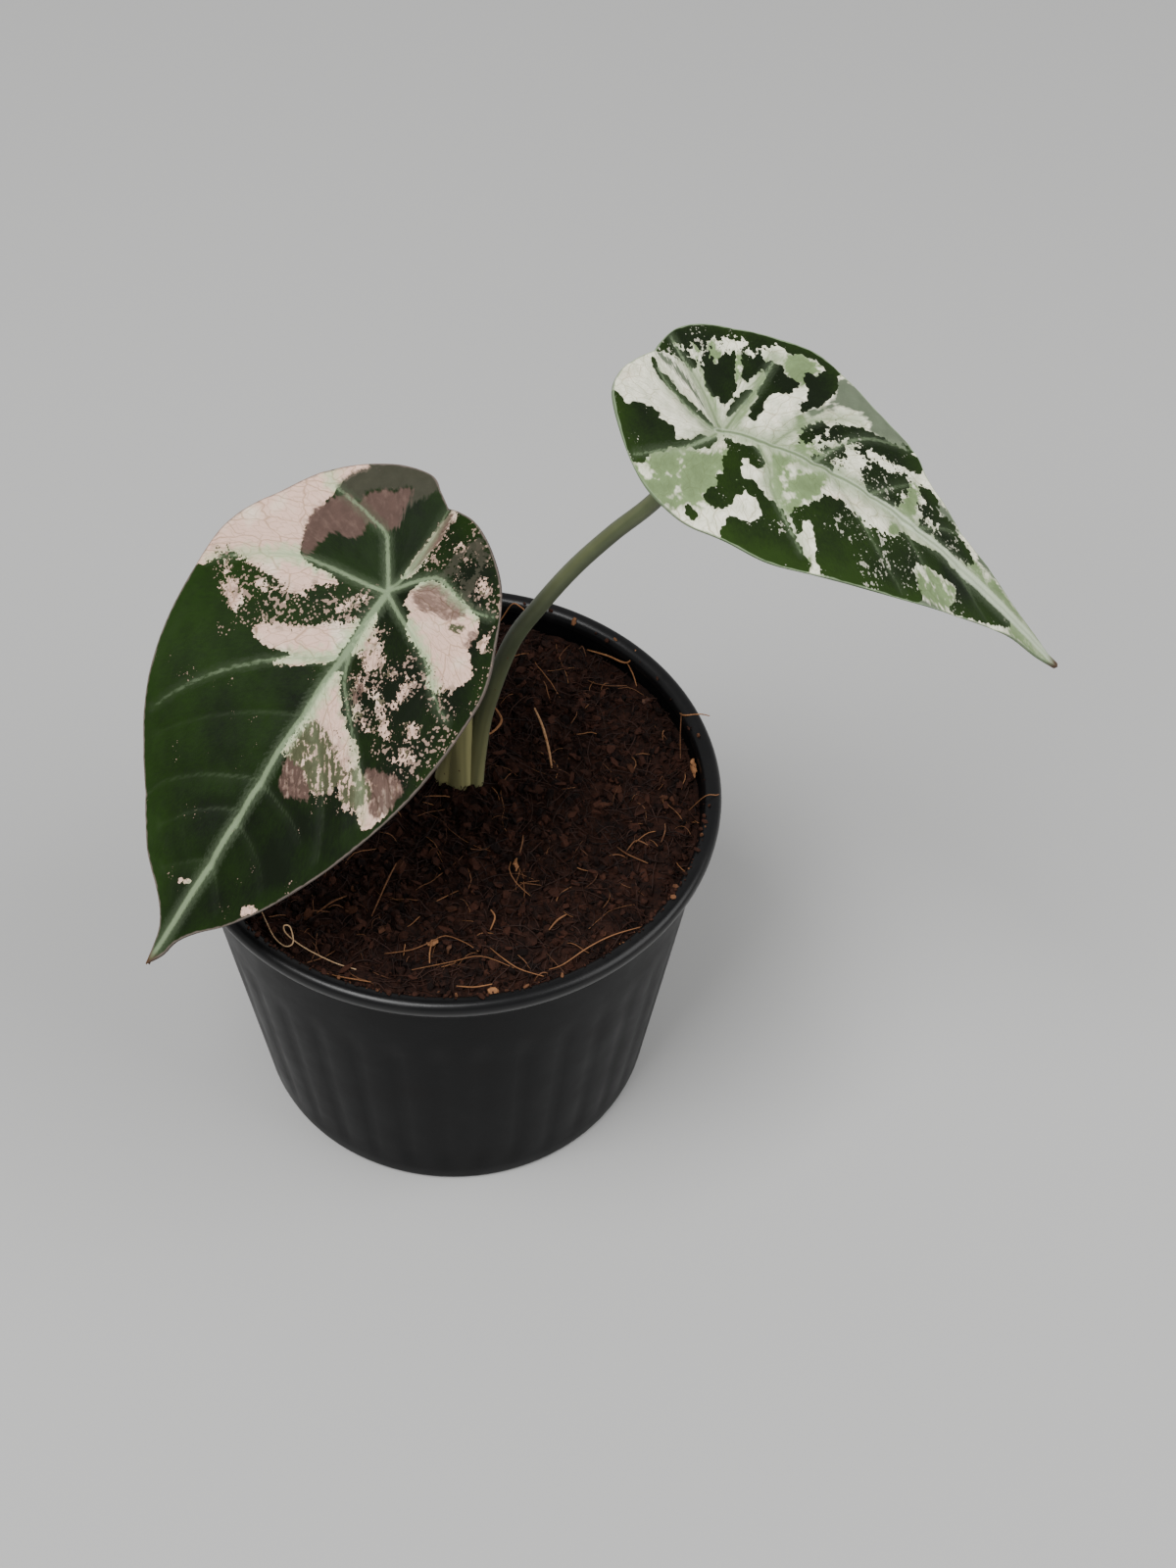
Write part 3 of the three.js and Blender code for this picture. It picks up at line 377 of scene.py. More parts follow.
# How far from the tip it dries, and over what length
DRY_START = 3.4
DRY_LENGTH = 2.6

# Stems: points on the centre line, in millimetres, from inside the soil to the blade's hub, and how much
# of the sheath's colour each foot has. The core joins the two low down, where the left one's sheath wraps
# round, as [x, y, z, radius].
SHEATH_CORE = ((1.6, 4.5, 70, 3.0), (1.8, 4.55, 78, 2.8), (2.3, 4.6, 87, 2.4), (3.0, 4.7, 96, 1.7),
               (3.6, 4.8, 103, 0.6))
STEMS = {
    "stem_left": {
        "route": (
            (-1.1, 5.4, 66.3), (-0.9, 5.4, 76), (0.5, 5.3, 86), (0.3, 4.9, 97), (-1.3, 3.6, 111),
            (-4.4, 0.6, 126), (-8.3, -3.0, 138.6), (-9.55, -4.15, 141.2),
        ),
        "foot_radius": 2.95, "radius": 1.75, "top_radius": 1.5, "sheath": 9.0, "sheath_tint": 1.0,
        "core": SHEATH_CORE,
    },
    "stem_right": {
        "route": (
            (4.1, 5, 66.3), (4.2, 5, 76), (5.1, 4.9, 86), (7.1, 4.8, 99.5), (12, 4.4, 118.5),
            (17.6, 4, 130.2), (23.8, 3.6, 141), (30.6, 3.1, 150.7), (37.9, 2.6, 160), (46.5, 1.9, 174.7),
            (47.9, 1.85, 177.1),
        ),
        "foot_radius": 2.4, "radius": 1.8, "top_radius": 1.5, "sheath": 12.0, "sheath_tint": 0.35,
        "core": (),
    },
}
CORE_TINT = 0.7
STEM_SIDES = 32
CORE_SIDES = 24
HUB_FLARE = 0.55
HUB_FLARE_LENGTH = 1.6
# The seam of each sheath: where it runs round the stem, in radians, how wide and how deep
SEAM_AT = -1.9
SEAM_WIDTH = 0.22
SEAM_DEPTH = 0.03

# Pot, in metres. The sections are in millimetres: the foot as [in from the base's radius, up], and the
# rolled rim as [in from the rim's radius, down from its top].
RIM_OVERHANG = 0.0022
RIM_SKIRT = 0.0034
FLUTE_FOOT = 0.006
FLUTE_HEAD = 0.060
FLUTE_FADE = 0.004
DRAIN_RING = 0.029
DRAIN_RADIUS = 0.004
FOOT_SECTION = ((2.2, 0), (1.2, 0.2))
RIM_SECTION = (
    (0.8, 3.3), (0.3, 3.0), (0.1, 2.5), (0, 1.8), (0, 1.4), (0.2, 0.8), (0.6, 0.3), (1.2, 0), (2.0, 0),
    (2.7, 0.2), (3.2, 0.6), (3.6, 1.3), (3.8, 2.4),
)
STEPS_PER_FLUTE = 6

# Soil, in metres: its gap to the wall, its underside, its lumps and the heap at the stems. The heap's place
# is in millimetres, and its spread in square millimetres.
SOIL_GAP = 0.0004
SOIL_UNDERSIDE = 0.0022
SOIL_LUMPS = 0.00054
HEAP_HEIGHT = 0.0014
HEAP_AT = (1.6, 4.6)
HEAP_SPREAD = 34
SOIL_RINGS = 96
SOIL_STEPS = 288
CRUMBS_AT_ONCE = 170
FIBRES_AT_ONCE = 60
FIBRE_STEPS = 6
CRUMB_SEED = 21
FIBRE_SEED = 8
HUSK_SEED = 3
# The bits on the rim's inner edge: how many, between which radii in millimetres, and how the edge rises there
RIM_CRUMBS = 230
RIM_EDGE = (50.3, 51.6)
RIM_EDGE_DROP = 0.0009
RIM_EDGE_SLOPE = 0.0007

# The fibres and husks that catch the eye, in millimetres. A fibre is its thickness, its tone and its path,
# as [x, y, height over the soil].
LOOSE_FIBRES = (
    (0.3, 1.0, ((-34.6, -30.6, 2.5), (-33.4, -33.3, 2.6), (-31.6, -36.8, 2.4), (-29.4, -38.6, 2.2),
                (-28, -37.6, 2.2), (-28.8, -34.3, 2.6), (-30, -34.2, 2.8), (-29.4, -35.8, 2.6),
                (-25.8, -38.2, 2.0), (-20, -41, 1.4), (-15.7, -42.2, 0.6))),
    (0.55, 0.86, ((16.1, 19.6, 6.5), (17.8, 16.2, 5), (19.2, 12.4, 3), (20, 8.8, 0.4))),
    (0.28, 0.7, ((21, -41, 0.8), (23.7, -40.2, 1.4), (28.3, -36.1, 1.6), (32.9, -32.9, 1.4),
                 (38.6, -30.1, 0.8))),
    (0.32, 0.78, ((44.4, 25.4, 2.2), (45.6, 21.8, 3.8), (46.6, 20.2, 5.2), (49.7, 20.6, 5.8),
                  (51.6, 20.1, 5.7))),
    (0.24, 0.55, ((45.9, 21.4, 4.4), (45.8, 17.3, 2.2), (45.9, 12.2, 0.8))),
    (0.22, 0.68, ((47.6, -1.8, 1.4), (50.7, -1.1, 5.6), (52.9, -0.6, 5.8), (53.6, 0.8, 5.2))),
    (0.42, 0.78, ((26.4, 41.5, 0.8), (30.6, 38.6, 2.6), (34.7, 35.8, 3.6), (36.4, 37.4, 5.4))),
    (0.3, 0.7, ((34.7, 36.2, 3.2), (36, 33.6, 2), (36.8, 31.4, 0.6))),
    (0.3, 0.72, ((6.6, 45, 0.8), (8.6, 47.4, 3.6), (10.5, 48.6, 6.2), (12.1, 48.4, 5.8),
                 (15, 47.6, 3.4))),
    (0.55, 0.74, ((7.9, 22.6, 2.6), (9.4, 20.4, 1.8), (8.4, 18.4, 1.0), (6.8, 17.2, 0.4))),
    (0.26, 0.62, ((-10.6, -38.3, 0.8), (-5.4, -37.6, 1.3), (-1.6, -35.4, 1.5))),
    (0.3, 0.8, ((-1.6, -35.4, 1.4), (-1.9, -38, 1.3), (-1.8, -40.2, 0.7))),
    (0.22, 0.66, ((-1.6, -35.4, 1.5), (1, -34.1, 1.6), (4.9, -35.8, 1.4), (7.4, -37.4, 0.7))),
    (0.2, 0.68, ((-5.1, -42, 0.8), (2.3, -40.1, 1.6), (8, -39.4, 1.8), (14.4, -41.2, 1))),
    (0.26, 0.7, ((9.6, -36.9, 1.2), (12, -39.4, 1.7), (15.4, -41.6, 1.6), (20.1, -42.9, 0.9))),
    (0.28, 0.76, ((3.6, -45.9, 1.2), (7, -46.3, 1.9), (10.4, -45.5, 2.1))),
    (0.26, 0.72, ((-23.1, -43, 1.2), (-18.7, -44.7, 1.7), (-12.6, -45.3, 1.2))),
    (0.36, 0.6, ((-24.4, -29.4, 0.7), (-21.6, -27.2, 1.4), (-18.6, -25.2, 0.7))),
    (0.34, 0.6, ((-13.6, -29.5, 0.7), (-11.1, -22.3, 1.6), (-9.6, -17.4, 0.9))),
    (0.36, 0.72, ((9.4, -31.9, 0.8), (10.2, -29.4, 1.6), (9.3, -27.2, 0.8))),
    (0.34, 0.58, ((14.3, -13.7, 0.7), (14.8, -11, 1.2), (14.9, -8.6, 0.5))),
    (0.3, 0.6, ((33.5, -10.5, 0.8), (35.4, -13.2, 1.5), (39.6, -15.2, 0.8))),
    (0.28, 0.6, ((35.4, -12, 1), (37.2, -9.8, 1.7), (39.6, -10.4, 0.9))),
    (0.3, 0.55, ((42.2, -9, 0.6), (42.9, -6.6, 1.4), (42.9, -4.4, 0.6))),
    (0.24, 0.55, ((26.7, 32.7, 0.6), (28.4, 31.4, 1.4), (31.4, 30.6, 1.7), (34.8, 31.4, 0.9))),
    (0.4, 0.66, ((20.7, -31.4, 0.7), (22.2, -29.4, 1.4), (24, -27.5, 0.7))),
)
HUSKS = (
    {"at": (-1.6, -35.4, 1.1), "size": (2.3, 1.2, 0.6), "turn": 40, "tone": 0.72},
    {"at": (1.7, -36.9, 0.9), "size": (2.4, 1.0, 0.6), "turn": 75, "tone": 0.5},
    {"at": (13.8, -16.1, 0.9), "size": (3.4, 1.2, 0.7), "turn": 96, "tone": 0.72},
    {"at": (48.6, 8.8, 2.0), "size": (5.2, 0.9, 1.3), "turn": 96, "tone": 0.7},
    {"at": (10.5, -46.3, 1.0), "size": (1.8, 1.3, 1.0), "turn": 10, "tone": 0.74},
    {"at": (39.0, 27.4, 0.9), "size": (2.4, 1.1, 0.7), "turn": 30, "tone": 0.45},
)

# Studio, in metres. The camera looks down by its pitch, and its lens is for a frame 36 mm high.
CAMERA_PLACE = (0.02738, -0.36806, 0.53298)
CAMERA_PITCH = math.radians(50.74)
CAMERA_ROLL = math.radians(-1.72)
CAMERA_LENS = 67.5
FRAME_HEIGHT = 36.0
FLOOR_SIZE = 4.0


class PotSettings(bpy.types.PropertyGroup):
    """Sizes and colour of the nursery pot."""

    height: FloatProperty(name="Height", description="From the table to the top of the rim",
                          default=POT_HEIGHT_MM * MM, unit="LENGTH")
    rim_radius: FloatProperty(name="Rim radius", description="Outer radius of the rolled rim",
                              default=RIM_RADIUS_MM * MM, unit="LENGTH")
    base_radius: FloatProperty(name="Base radius", description="Radius of the wall where it meets the base",
                               default=0.041, unit="LENGTH")
    wall: FloatProperty(name="Wall", description="Thickness of the wall", default=0.0012, unit="LENGTH")
    floor: FloatProperty(name="Floor", description="Thickness of the floor", default=0.0016, unit="LENGTH")
    flute_depth: FloatProperty(name="Flute depth",
                               description="How far the upright flutes sink into the wall", default=0.00032,
                               unit="LENGTH")
    flutes: IntProperty(name="Flutes", description="Upright flutes round the wall", default=36)
    holes: IntProperty(name="Drain holes", description="Holes through the floor", default=8)
    colour: FloatVectorProperty(name="Colour", description="Colour of the plastic", subtype="COLOR", size=3,
                                default=(0.003, 0.0031, 0.0035))


class SoilSettings(bpy.types.PropertyGroup):
    """Amounts and colours of the coir soil."""

    level: FloatProperty(name="Level", description="Height of the soil at the pot's wall", default=0.0754,
                         unit="LENGTH")
    crown: FloatProperty(name="Crown", description="How much higher the middle stands", default=0.0009,
                         unit="LENGTH")
    crumbs: IntProperty(name="Crumbs", description="Grains of coir pith on the surface", default=5200)
    flakes: IntProperty(name="Flakes", description="Flat flakes of coir husk on the surface", default=260)
    fibres: IntProperty(name="Fibres", description="Fine loose fibres on the surface", default=2100)
    dark: FloatVectorProperty(name="Dark pith", description="Colour of damp coir pith", subtype="COLOR",
                              size=3, default=(0.0052, 0.0019, 0.0012))
    brown: FloatVectorProperty(name="Brown pith", description="Colour of drier coir pith", subtype="COLOR",
                               size=3, default=(0.042, 0.0145, 0.008))
    straw: FloatVectorProperty(name="Straw", description="Colour of the pale grains", subtype="COLOR",
                               size=3, default=(0.26, 0.12, 0.055))
    tan: FloatVectorProperty(name="Tan", description="Colour of the pale fibres", subtype="COLOR", size=3,
                             default=(0.30, 0.135, 0.055))
    bleached: FloatVectorProperty(name="Bleached", description="Colour of the palest fibres", subtype="COLOR",
                                  size=3, default=(0.62, 0.42, 0.24))


class StemSettings(bpy.types.PropertyGroup):
    """Colours of the two leaf stems."""

    green: FloatVectorProperty(name="Green", description="Colour of the stem", subtype="COLOR", size=3,
                               default=(0.056, 0.069, 0.031))
    pale: FloatVectorProperty(name="Pale streaks", description="Colour of the sheath's streaks",
                              subtype="COLOR", size=3, default=(0.46, 0.43, 0.19))
    mark: FloatVectorProperty(name="Marks", description="Colour of the small brown marks", subtype="COLOR",
                              size=3, default=(0.09, 0.03, 0.012))


class LeafSettings(bpy.types.PropertyGroup):
    """Sizes and colours of the two blades."""

    thickness: FloatProperty(name="Thickness", description="Thickness of the blade between its veins",
                             default=0.0006, unit="LENGTH")
    vein_sink: FloatProperty(name="Vein sink", description="How far the side veins sink into the upper face",
                             default=0.00028, unit="LENGTH")
    rib_height: FloatProperty(name="Rib height",
                              description="How far the midrib stands out underneath at the hub",
                              default=0.0019, unit="LENGTH")
    dark: FloatVectorProperty(name="Dark green", description="The velvet green between veins",
                              subtype="COLOR", size=3, default=(0.0026, 0.0062, 0.0009))
    green: FloatVectorProperty(name="Green", description="The velvet green by veins and edges",
                               subtype="COLOR", size=3, default=(0.0085, 0.026, 0.0008))
    cream: FloatVectorProperty(name="Cream", description="Leaf tissue without green", subtype="COLOR",
                               size=3, default=(0.92, 0.90, 0.72))
    pink: FloatVectorProperty(name="Pink", description="The blush on the cream", subtype="COLOR", size=3,
                              default=(0.75, 0.505, 0.40))
    mauve: FloatVectorProperty(name="Mauve", description="Dusky half tone", subtype="COLOR", size=3,
                               default=(0.076, 0.045, 0.036))
    sage: FloatVectorProperty(name="Sage", description="Grey-green half tone of the larger leaf",
                              subtype="COLOR", size=3, default=(0.035, 0.034, 0.022))
    grey_sage: FloatVectorProperty(name="Grey sage", description="Even half tone of the drooping leaf",
                                   subtype="COLOR", size=3, default=(0.066, 0.090, 0.054))
    mint: FloatVectorProperty(name="Mint", description="Pale half tone of the drooping leaf",
                              subtype="COLOR", size=3, default=(0.145, 0.205, 0.092))
    olive: FloatVectorProperty(name="Olive", description="Streaked half tone of the larger leaf",
                               subtype="COLOR", size=3, default=(0.066, 0.070, 0.036))
    flush: FloatVectorProperty(name="Flush", description="The green that the pale tissue has by the veins",
                               subtype="COLOR", size=3, default=(0.28, 0.35, 0.205))
    silver: FloatVectorProperty(name="Silver", description="The midrib and main veins on green",
                                subtype="COLOR", size=3, default=(0.215, 0.285, 0.165))
    pale_vein: FloatVectorProperty(name="Pale veins", description="The midrib and veins of the paler leaf",
                                   subtype="COLOR", size=3, default=(0.55, 0.63, 0.46))
    rim: FloatVectorProperty(name="Margin", description="The pale line along the edge", subtype="COLOR",
                             size=3, default=(0.16, 0.125, 0.11))
    light_green: FloatVectorProperty(name="Light green", description="The same green on the drooping leaf",
                                     subtype="COLOR", size=3, default=(0.0135, 0.034, 0.0022))
    net: FloatVectorProperty(name="Net", description="What the fine net leaves of the colour under it",
                             subtype="COLOR", size=3, default=(0.56, 0.53, 0.44))
    dry: FloatVectorProperty(name="Dry tip", description="The last millimetres of the tip", subtype="COLOR",
                             size=3, default=(0.075, 0.04, 0.02))


class StageSettings(bpy.types.PropertyGroup):
    """The plain studio."""

    floor: FloatVectorProperty(name="Floor", description="Colour of the floor", subtype="COLOR", size=3,
                               default=(0.47, 0.47, 0.465))
    key: FloatProperty(name="Key light", description="Power of the main soft light", default=20.0,
                       unit="POWER")
    fill: FloatProperty(name="Fill light", description="Power of the side soft light", default=9.0,
                        unit="POWER")
    sky: FloatProperty(name="Sky", description="Strength of the even light from all sides", default=0.42)


# Materials


def scaled(colour, gain):
    return [gain * part for part in colour]


class Graph:
    """The nodes of one material, so that each step reads as one line."""

    def __init__(self, name):
        self.material = bpy.data.materials.new(name)
        self.material.use_nodes = True
        self.tree = self.material.node_tree
        self.shader = self.tree.nodes["Principled BSDF"]

    def node(self, kind, values=(), **settings):
        made = self.tree.nodes.new(kind)
        for key, value in settings.items():
            setattr(made, key, value)
        for key, value in values:
            self.feed(made.inputs[key], value)
        return made

    def feed(self, socket, value):
        if isinstance(value, bpy.types.NodeSocket):
            self.tree.links.new(value, socket)
        else:
            socket.default_value = value

    def value(self, name):
        return self.node("ShaderNodeAttribute", attribute_name=name).outputs["Fac"]

    def vector(self, name):
        return self.node("ShaderNodeAttribute", attribute_name=name).outputs["Vector"]

    def place(self):
        return self.node("ShaderNodeTexCoord").outputs["Object"]

    def stretch(self, vector, scale):
        return self.node("ShaderNodeMapping", (("Vector", vector), ("Scale", scale))).outputs["Vector"]

    def noise(self, vector, scale, detail=2.0, roughness=0.5):
        values = (("Vector", vector), ("Scale", scale), ("Detail", detail), ("Roughness", roughness))
        return self.node("ShaderNodeTexNoise", values).outputs["Fac"]

    def cells(self, vector, scale):
        """Distance from the middle of round cells that melt together."""
        values = (("Vector", vector), ("Scale", scale), ("Smoothness", 0.3))
        made = self.node("ShaderNodeTexVoronoi", values, voronoi_dimensions="2D", feature="SMOOTH_F1")
        return made.outputs["Distance"]

    def walls(self, vector, scale):
        """Distance from the walls between cells."""
        values = (("Vector", self.stretch(vector, scale)), ("Scale", 1.0))
        made = self.node("ShaderNodeTexVoronoi", values, voronoi_dimensions="2D", feature="DISTANCE_TO_EDGE")
        return made.outputs["Distance"]

    def wander(self, vector, reach, scale):
        """The vector, pushed about by up to half the reach."""
        push = self.node("ShaderNodeTexNoise", (("Vector", vector), ("Scale", scale))).outputs["Color"]
        middle = ((0, push), (1, (0.5, 0.5, 0.5)))
        push = self.node("ShaderNodeVectorMath", middle, operation="SUBTRACT").outputs[0]
        push = self.node("ShaderNodeVectorMath", ((0, push), ("Scale", reach)), operation="SCALE").outputs[0]
        return self.node("ShaderNodeVectorMath", ((0, vector), (1, push)), operation="ADD").outputs[0]

    def math(self, operation, first, second=0.0):
        return self.node("ShaderNodeMath", ((0, first), (1, second)), operation=operation).outputs[0]

    def add(self, *terms):
        total = terms[0]
        for term in terms[1:]:
            total = self.math("ADD", total, term)
        return total

    def less(self, first, second):
        return self.math("SUBTRACT", first, second)

    def times(self, first, second):
        return self.math("MULTIPLY", first, second)

    def larger(self, first, second):
        return self.math("MAXIMUM", first, second)

    def band(self, value, low, high, start=0.0, end=1.0):
        """Value carried from low..high to start..end, held at both ends."""
        sockets = (("Value", value), ("From Min", low), ("From Max", high),
                   ("To Min", start), ("To Max", end))
        return self.node("ShaderNodeMapRange", sockets, clamp=True).outputs["Result"]

    def within(self, value, low, high):
        """One below the low value, falling to zero at the high one."""
        return self.band(value, low, high, 1.0, 0.0)

    def mix(self, factor, first, second, **settings):
        made = self.node("ShaderNodeMix", data_type="RGBA", **settings)
        self.feed(made.inputs[0], factor)
        for socket, value in ((made.inputs[6], first), (made.inputs[7], second)):
            self.feed(socket, value if isinstance(value, bpy.types.NodeSocket) else (*value, 1.0))
        return made.outputs[2]

    def blend(self, factor, first, second):
        return self.mix(factor, first, second)

    def shade(self, factor, colour, tint):
        """The colour, multiplied by a tint by as much as the factor says."""
        return self.mix(factor, colour, tint, blend_type="MULTIPLY")

    def bump(self, height, distance, strength=1.0):
        values = (("Height", height), ("Distance", distance), ("Strength", strength))
        self.feed(self.shader.inputs["Normal"], self.node("ShaderNodeBump", values).outputs["Normal"])

    def finish(self, colour, roughness, **sockets):
        self.feed(self.shader.inputs["Base Color"], colour)
        self.feed(self.shader.inputs["Roughness"], roughness)
        for name, value in sockets.items():
            self.shader.inputs[name.replace("_", " ").title().replace("Ior", "IOR")].default_value = value
        return self.material


def leaf_looks(settings):
    """
    What differs between the two blades: the colours, the sizes of the lumps and cells that break up the
    patches, how much each counts in plain tissue and in lace, how much there is of each streak and fleck, and
    how much painted groove shade darkens the middle of the midrib.
    """
    return {
        "leaf_left": {
            "dark": settings.dark, "green": settings.green, "cream": settings.pink, "tinge": settings.cream,
            "half": settings.sage, "mint": settings.olive, "flush": scaled(settings.flush, 1.6),
            "vein": settings.silver, "line": scaled(settings.silver, 0.9), "rim": settings.rim,
            "lump": 0.7, "lumps": (1.0, 2.2), "cell": 1.3, "dots": (-0.6, -2.0), "small_dots": (-0.2, -1.2),
            "lace_gain": -0.45, "lace_flecks": 0.24, "lace_dots": 3.2, "fleck_level": 0.59, "green_gain": 0.0,
            "tinge_share": 0.27, "blush": 0.5, "flush_reach": 2.2, "groove_shade": 0.0, "rim_width": 0.36,
            "mottle": 0.6, "streaks": 1.0, "mint_share": 0.54, "mint_edge": 0.25,
        },
        "leaf_right": {
            "dark": scaled(settings.dark, 1.3), "green": settings.light_green, "cream": settings.cream,
            "tinge": settings.pink, "half": settings.grey_sage, "mint": settings.mint,
            "flush": settings.flush, "vein": settings.pale_vein, "line": scaled(settings.mint, 0.75),
            "rim": settings.silver,
            "lump": 0.5, "lumps": (1.2, 2.4), "cell": 1.0, "dots": (-0.7, -1.7), "small_dots": (0.0, -0.6),
            "lace_gain": -0.42, "lace_flecks": 0.1, "lace_dots": 1.6, "fleck_level": 0.525, "green_gain": 0.2,
            "tinge_share": 0.22, "blush": 0.0, "flush_reach": 3.4, "groove_shade": 0.9, "rim_width": 0.26,
            "mottle": 0.2, "streaks": 0.15, "mint_share": 0.55, "mint_edge": 0.5,
        },
    }


class LeafGraph(Graph):
    """The tissue of one blade, from the depths and distances in millimetres that its mesh carries."""

    def __init__(self, name, settings, look):
        super().__init__(name)
        self.settings = settings
        self.look = look
        self.at = self.vector("leaf_mm")
        self.lay = self.vector("lay_mm")
        self.along, self.side = self.node("ShaderNodeSeparateXYZ", (("Vector", self.at),)).outputs[:2]
        self.lace = self.value("lace")
        self.spine = self.value("midrib")
        self.rim = self.value("rim")
        self.vein_show = self.value("vein_show")
        self.weave = self.noise(self.stretch(self.lay, (2.4, 0.8, 1.0)), 1.0, 3.0, 0.65)
        self.feather = self.times(self.add(self.weave, -0.5), 1.2)
        self.soft_vein = self.add(self.value("vein"), self.feather)
        self.lumps = self.add(self.noise(self.at, look["lump"], 0.7), -0.5)
        self.streaks = self.add(self.noise(self.stretch(self.lay, (1.3, 0.2, 1.0)), 1.0, 2.0), -0.5)
        self.loose = self.wander(self.at, 0.5, 1.2)
        self.broken = self.broken_edge()

    def over_lace(self, plain, laced):
        return self.band(self.lace, 0.0, 1.0, plain, laced)

    def broken_edge(self):
        """How far out an edge is pushed: by lumps, round cells of two sizes and streaks along the veins."""
        look = self.look
        middle = 0.36
        dots = self.less(middle, self.cells(self.loose, look["cell"]))
        small_dots = self.less(middle, self.cells(self.loose, 2.2 * look["cell"]))
        return self.add(
            self.times(self.lumps, self.over_lace(*look["lumps"])),
            self.times(dots, self.over_lace(*look["dots"])),
            self.times(small_dots, self.over_lace(*look["small_dots"])),
            self.times(self.streaks, self.over_lace(0.5, 1.5)),
            self.times(self.lace, look["lace_gain"]),
        )

    def masks(self):
        """How much of each patch there is at a place."""
        uneven = self.add(self.times(self.broken, 0.5), self.times(self.streaks, 2.4))
        edges = (("cream", self.broken, 0.07), ("sage", uneven, 0.35),
                 ("mint", uneven, self.look["mint_edge"]), ("mauve", uneven, 0.3))
        masks = {}
        for patch, ragged, soft in edges:
            masks[patch] = self.band(self.add(self.value(patch), ragged), -soft, soft)
        fuller = self.add(self.value("green"), self.look["green_gain"])
        masks["green"] = self.band(self.less(fuller, self.broken), -0.07, 0.07)
        return masks

    def pale_flecks(self):
        """Small pale flecks in loose clouds over the green."""
        drift = self.add(self.noise(self.at, 0.16, 2.0), self.times(self.lace, self.look["lace_flecks"]),
                         self.band(self.side, -10.0, 15.0, 0.0, -0.05))
        chosen = self.band(self.noise(self.at, 0.9, 1.0), 0.46, 0.6)
        reach = self.times(self.times(self.add(drift, -self.look["fleck_level"]), 3.2), chosen)
        return self.band(self.less(reach, self.cells(self.loose, 1.6)), 0.0, 0.08)

    def dark_flecks(self):
        """Small dark flecks in the lace's pale islands."""
        clouds = self.times(self.add(self.noise(self.at, 0.45, 2.0), -0.47), self.look["lace_dots"])
        reach = self.times(clouds, self.lace)
        return self.band(self.less(reach, self.cells(self.loose, 1.4)), 0.0, 0.06)

    def green_tissue(self):
        look = self.look
        # How green the velvet is: at random, brighter by the edges, and painted light and shade across the
        # blade, lighter on the minus half and darker on the plus half
        greenness_and_lit_side = self.add(self.noise(self.at, 0.09, 3.0), self.band(self.side, -22.0, 14.0, 0.16, -0.16),
                        self.band(self.rim, 0.0, 5.0, 0.24, 0.0),
                        self.times(self.add(self.weave, -0.5), 0.5))
        green = self.blend(self.band(greenness_and_lit_side, 0.3, 0.85), look["dark"], look["green"])
        return self.blend(self.times(self.pale_flecks(), 0.7), green, scaled(look["cream"], 0.55))

    def pale_tissue(self):
        """Cream or pink, with a dusky blush in the lace, a green flush by the veins and dark flecks."""
        look = self.look
        reach = look["flush_reach"]
        tinged = self.band(self.add(self.noise(self.at, 0.12, 2.0), look["tinge_share"] - 0.5), 0.3, 0.72)
        cream = self.blend(tinged, look["cream"], look["tinge"])
        by_vein = self.within(self.add(self.soft_vein, self.times(self.lumps, 4.0)), 0.2, reach)
        by_vein = self.times(by_vein, self.band(self.vein_show, 0.2, 0.7))
        by_spine = self.within(self.add(self.spine, self.times(self.lumps, 5.0)), 0.2, 1.4 * reach)
        blush = self.band(self.noise(self.at, 0.5, 3.0, 0.6), 0.42, 0.62)
        blush = self.times(blush, self.band(self.lace, 0.2, 1.0))
        cream = self.blend(self.times(blush, look["blush"]), cream, scaled(self.settings.mauve, 2.0))
        cream = self.blend(self.times(self.larger(by_vein, by_spine), 0.85), cream, look["flush"])
        cream = self.blend(self.times(self.band(self.weave, 0.4, 0.8), 0.16), cream, look["half"])
        return self.blend(self.times(self.dark_flecks(), 0.85), cream, look["green"])

    def half_tones(self, cream):
        """The even, the dusky and the mint half tone, the last two streaked with the pale tissue."""
        look = self.look
        mauve = self.settings.mauve
        cloud = self.noise(self.at, 0.4, 4.0, 0.65)
        half = self.blend(self.band(cloud, 0.35, 0.7, 0.0, 0.6), look["half"], scaled(look["half"], 1.5))

        mottle = self.noise(self.at, look["mottle"], 3.0, 0.6)
        patches = self.add(mottle, self.times(self.streaks, look["streaks"]))
        dusk = self.blend(self.band(cloud, 0.35, 0.7, 0.0, 0.5), mauve, scaled(mauve, 1.6))
        beside_hub = self.band(self.side, 2.0, 6.0)
        streaky = self.larger(self.band(self.along, 8.0, 20.0, 0.15, 1.0), beside_hub)
        dusk = self.blend(self.times(self.band(patches, 0.5, 0.78, 0.0, 0.35), streaky), dusk, cream)
        dusk = self.blend(self.times(beside_hub, self.band(self.along, 0.0, 8.0, 0.14, 0.0)), dusk, cream)

        share = look["mint_share"]
        mint = self.blend(self.band(patches, 0.38, 0.6), look["mint"], scaled(look["mint"], 1.35))
        mint = self.blend(self.band(patches, share, share + 0.08, 0.0, 0.9), mint, cream)
        return half, dusk, mint

    def patchwork(self, masks):
        """The tissues laid one over the other."""
        green = self.green_tissue()
        cream = self.pale_tissue()
        half, dusk, mint = self.half_tones(cream)
        wash = self.times(self.band(self.noise(self.at, 0.5, 2.0), 0.56, 0.64),
                          self.band(self.value("cream"), 0.4, 2.0, 0.5, 0.0))
        colour = self.blend(masks["cream"], green, cream)
        colour = self.blend(self.times(wash, masks["cream"]), colour, self.look["mint"])
        colour = self.blend(self.times(masks["sage"], 0.95), colour, half)
        colour = self.blend(masks["mint"], colour, mint)
        colour = self.blend(self.times(masks["mauve"], 0.95), colour, dusk)
        return self.blend(masks["green"], colour, green)

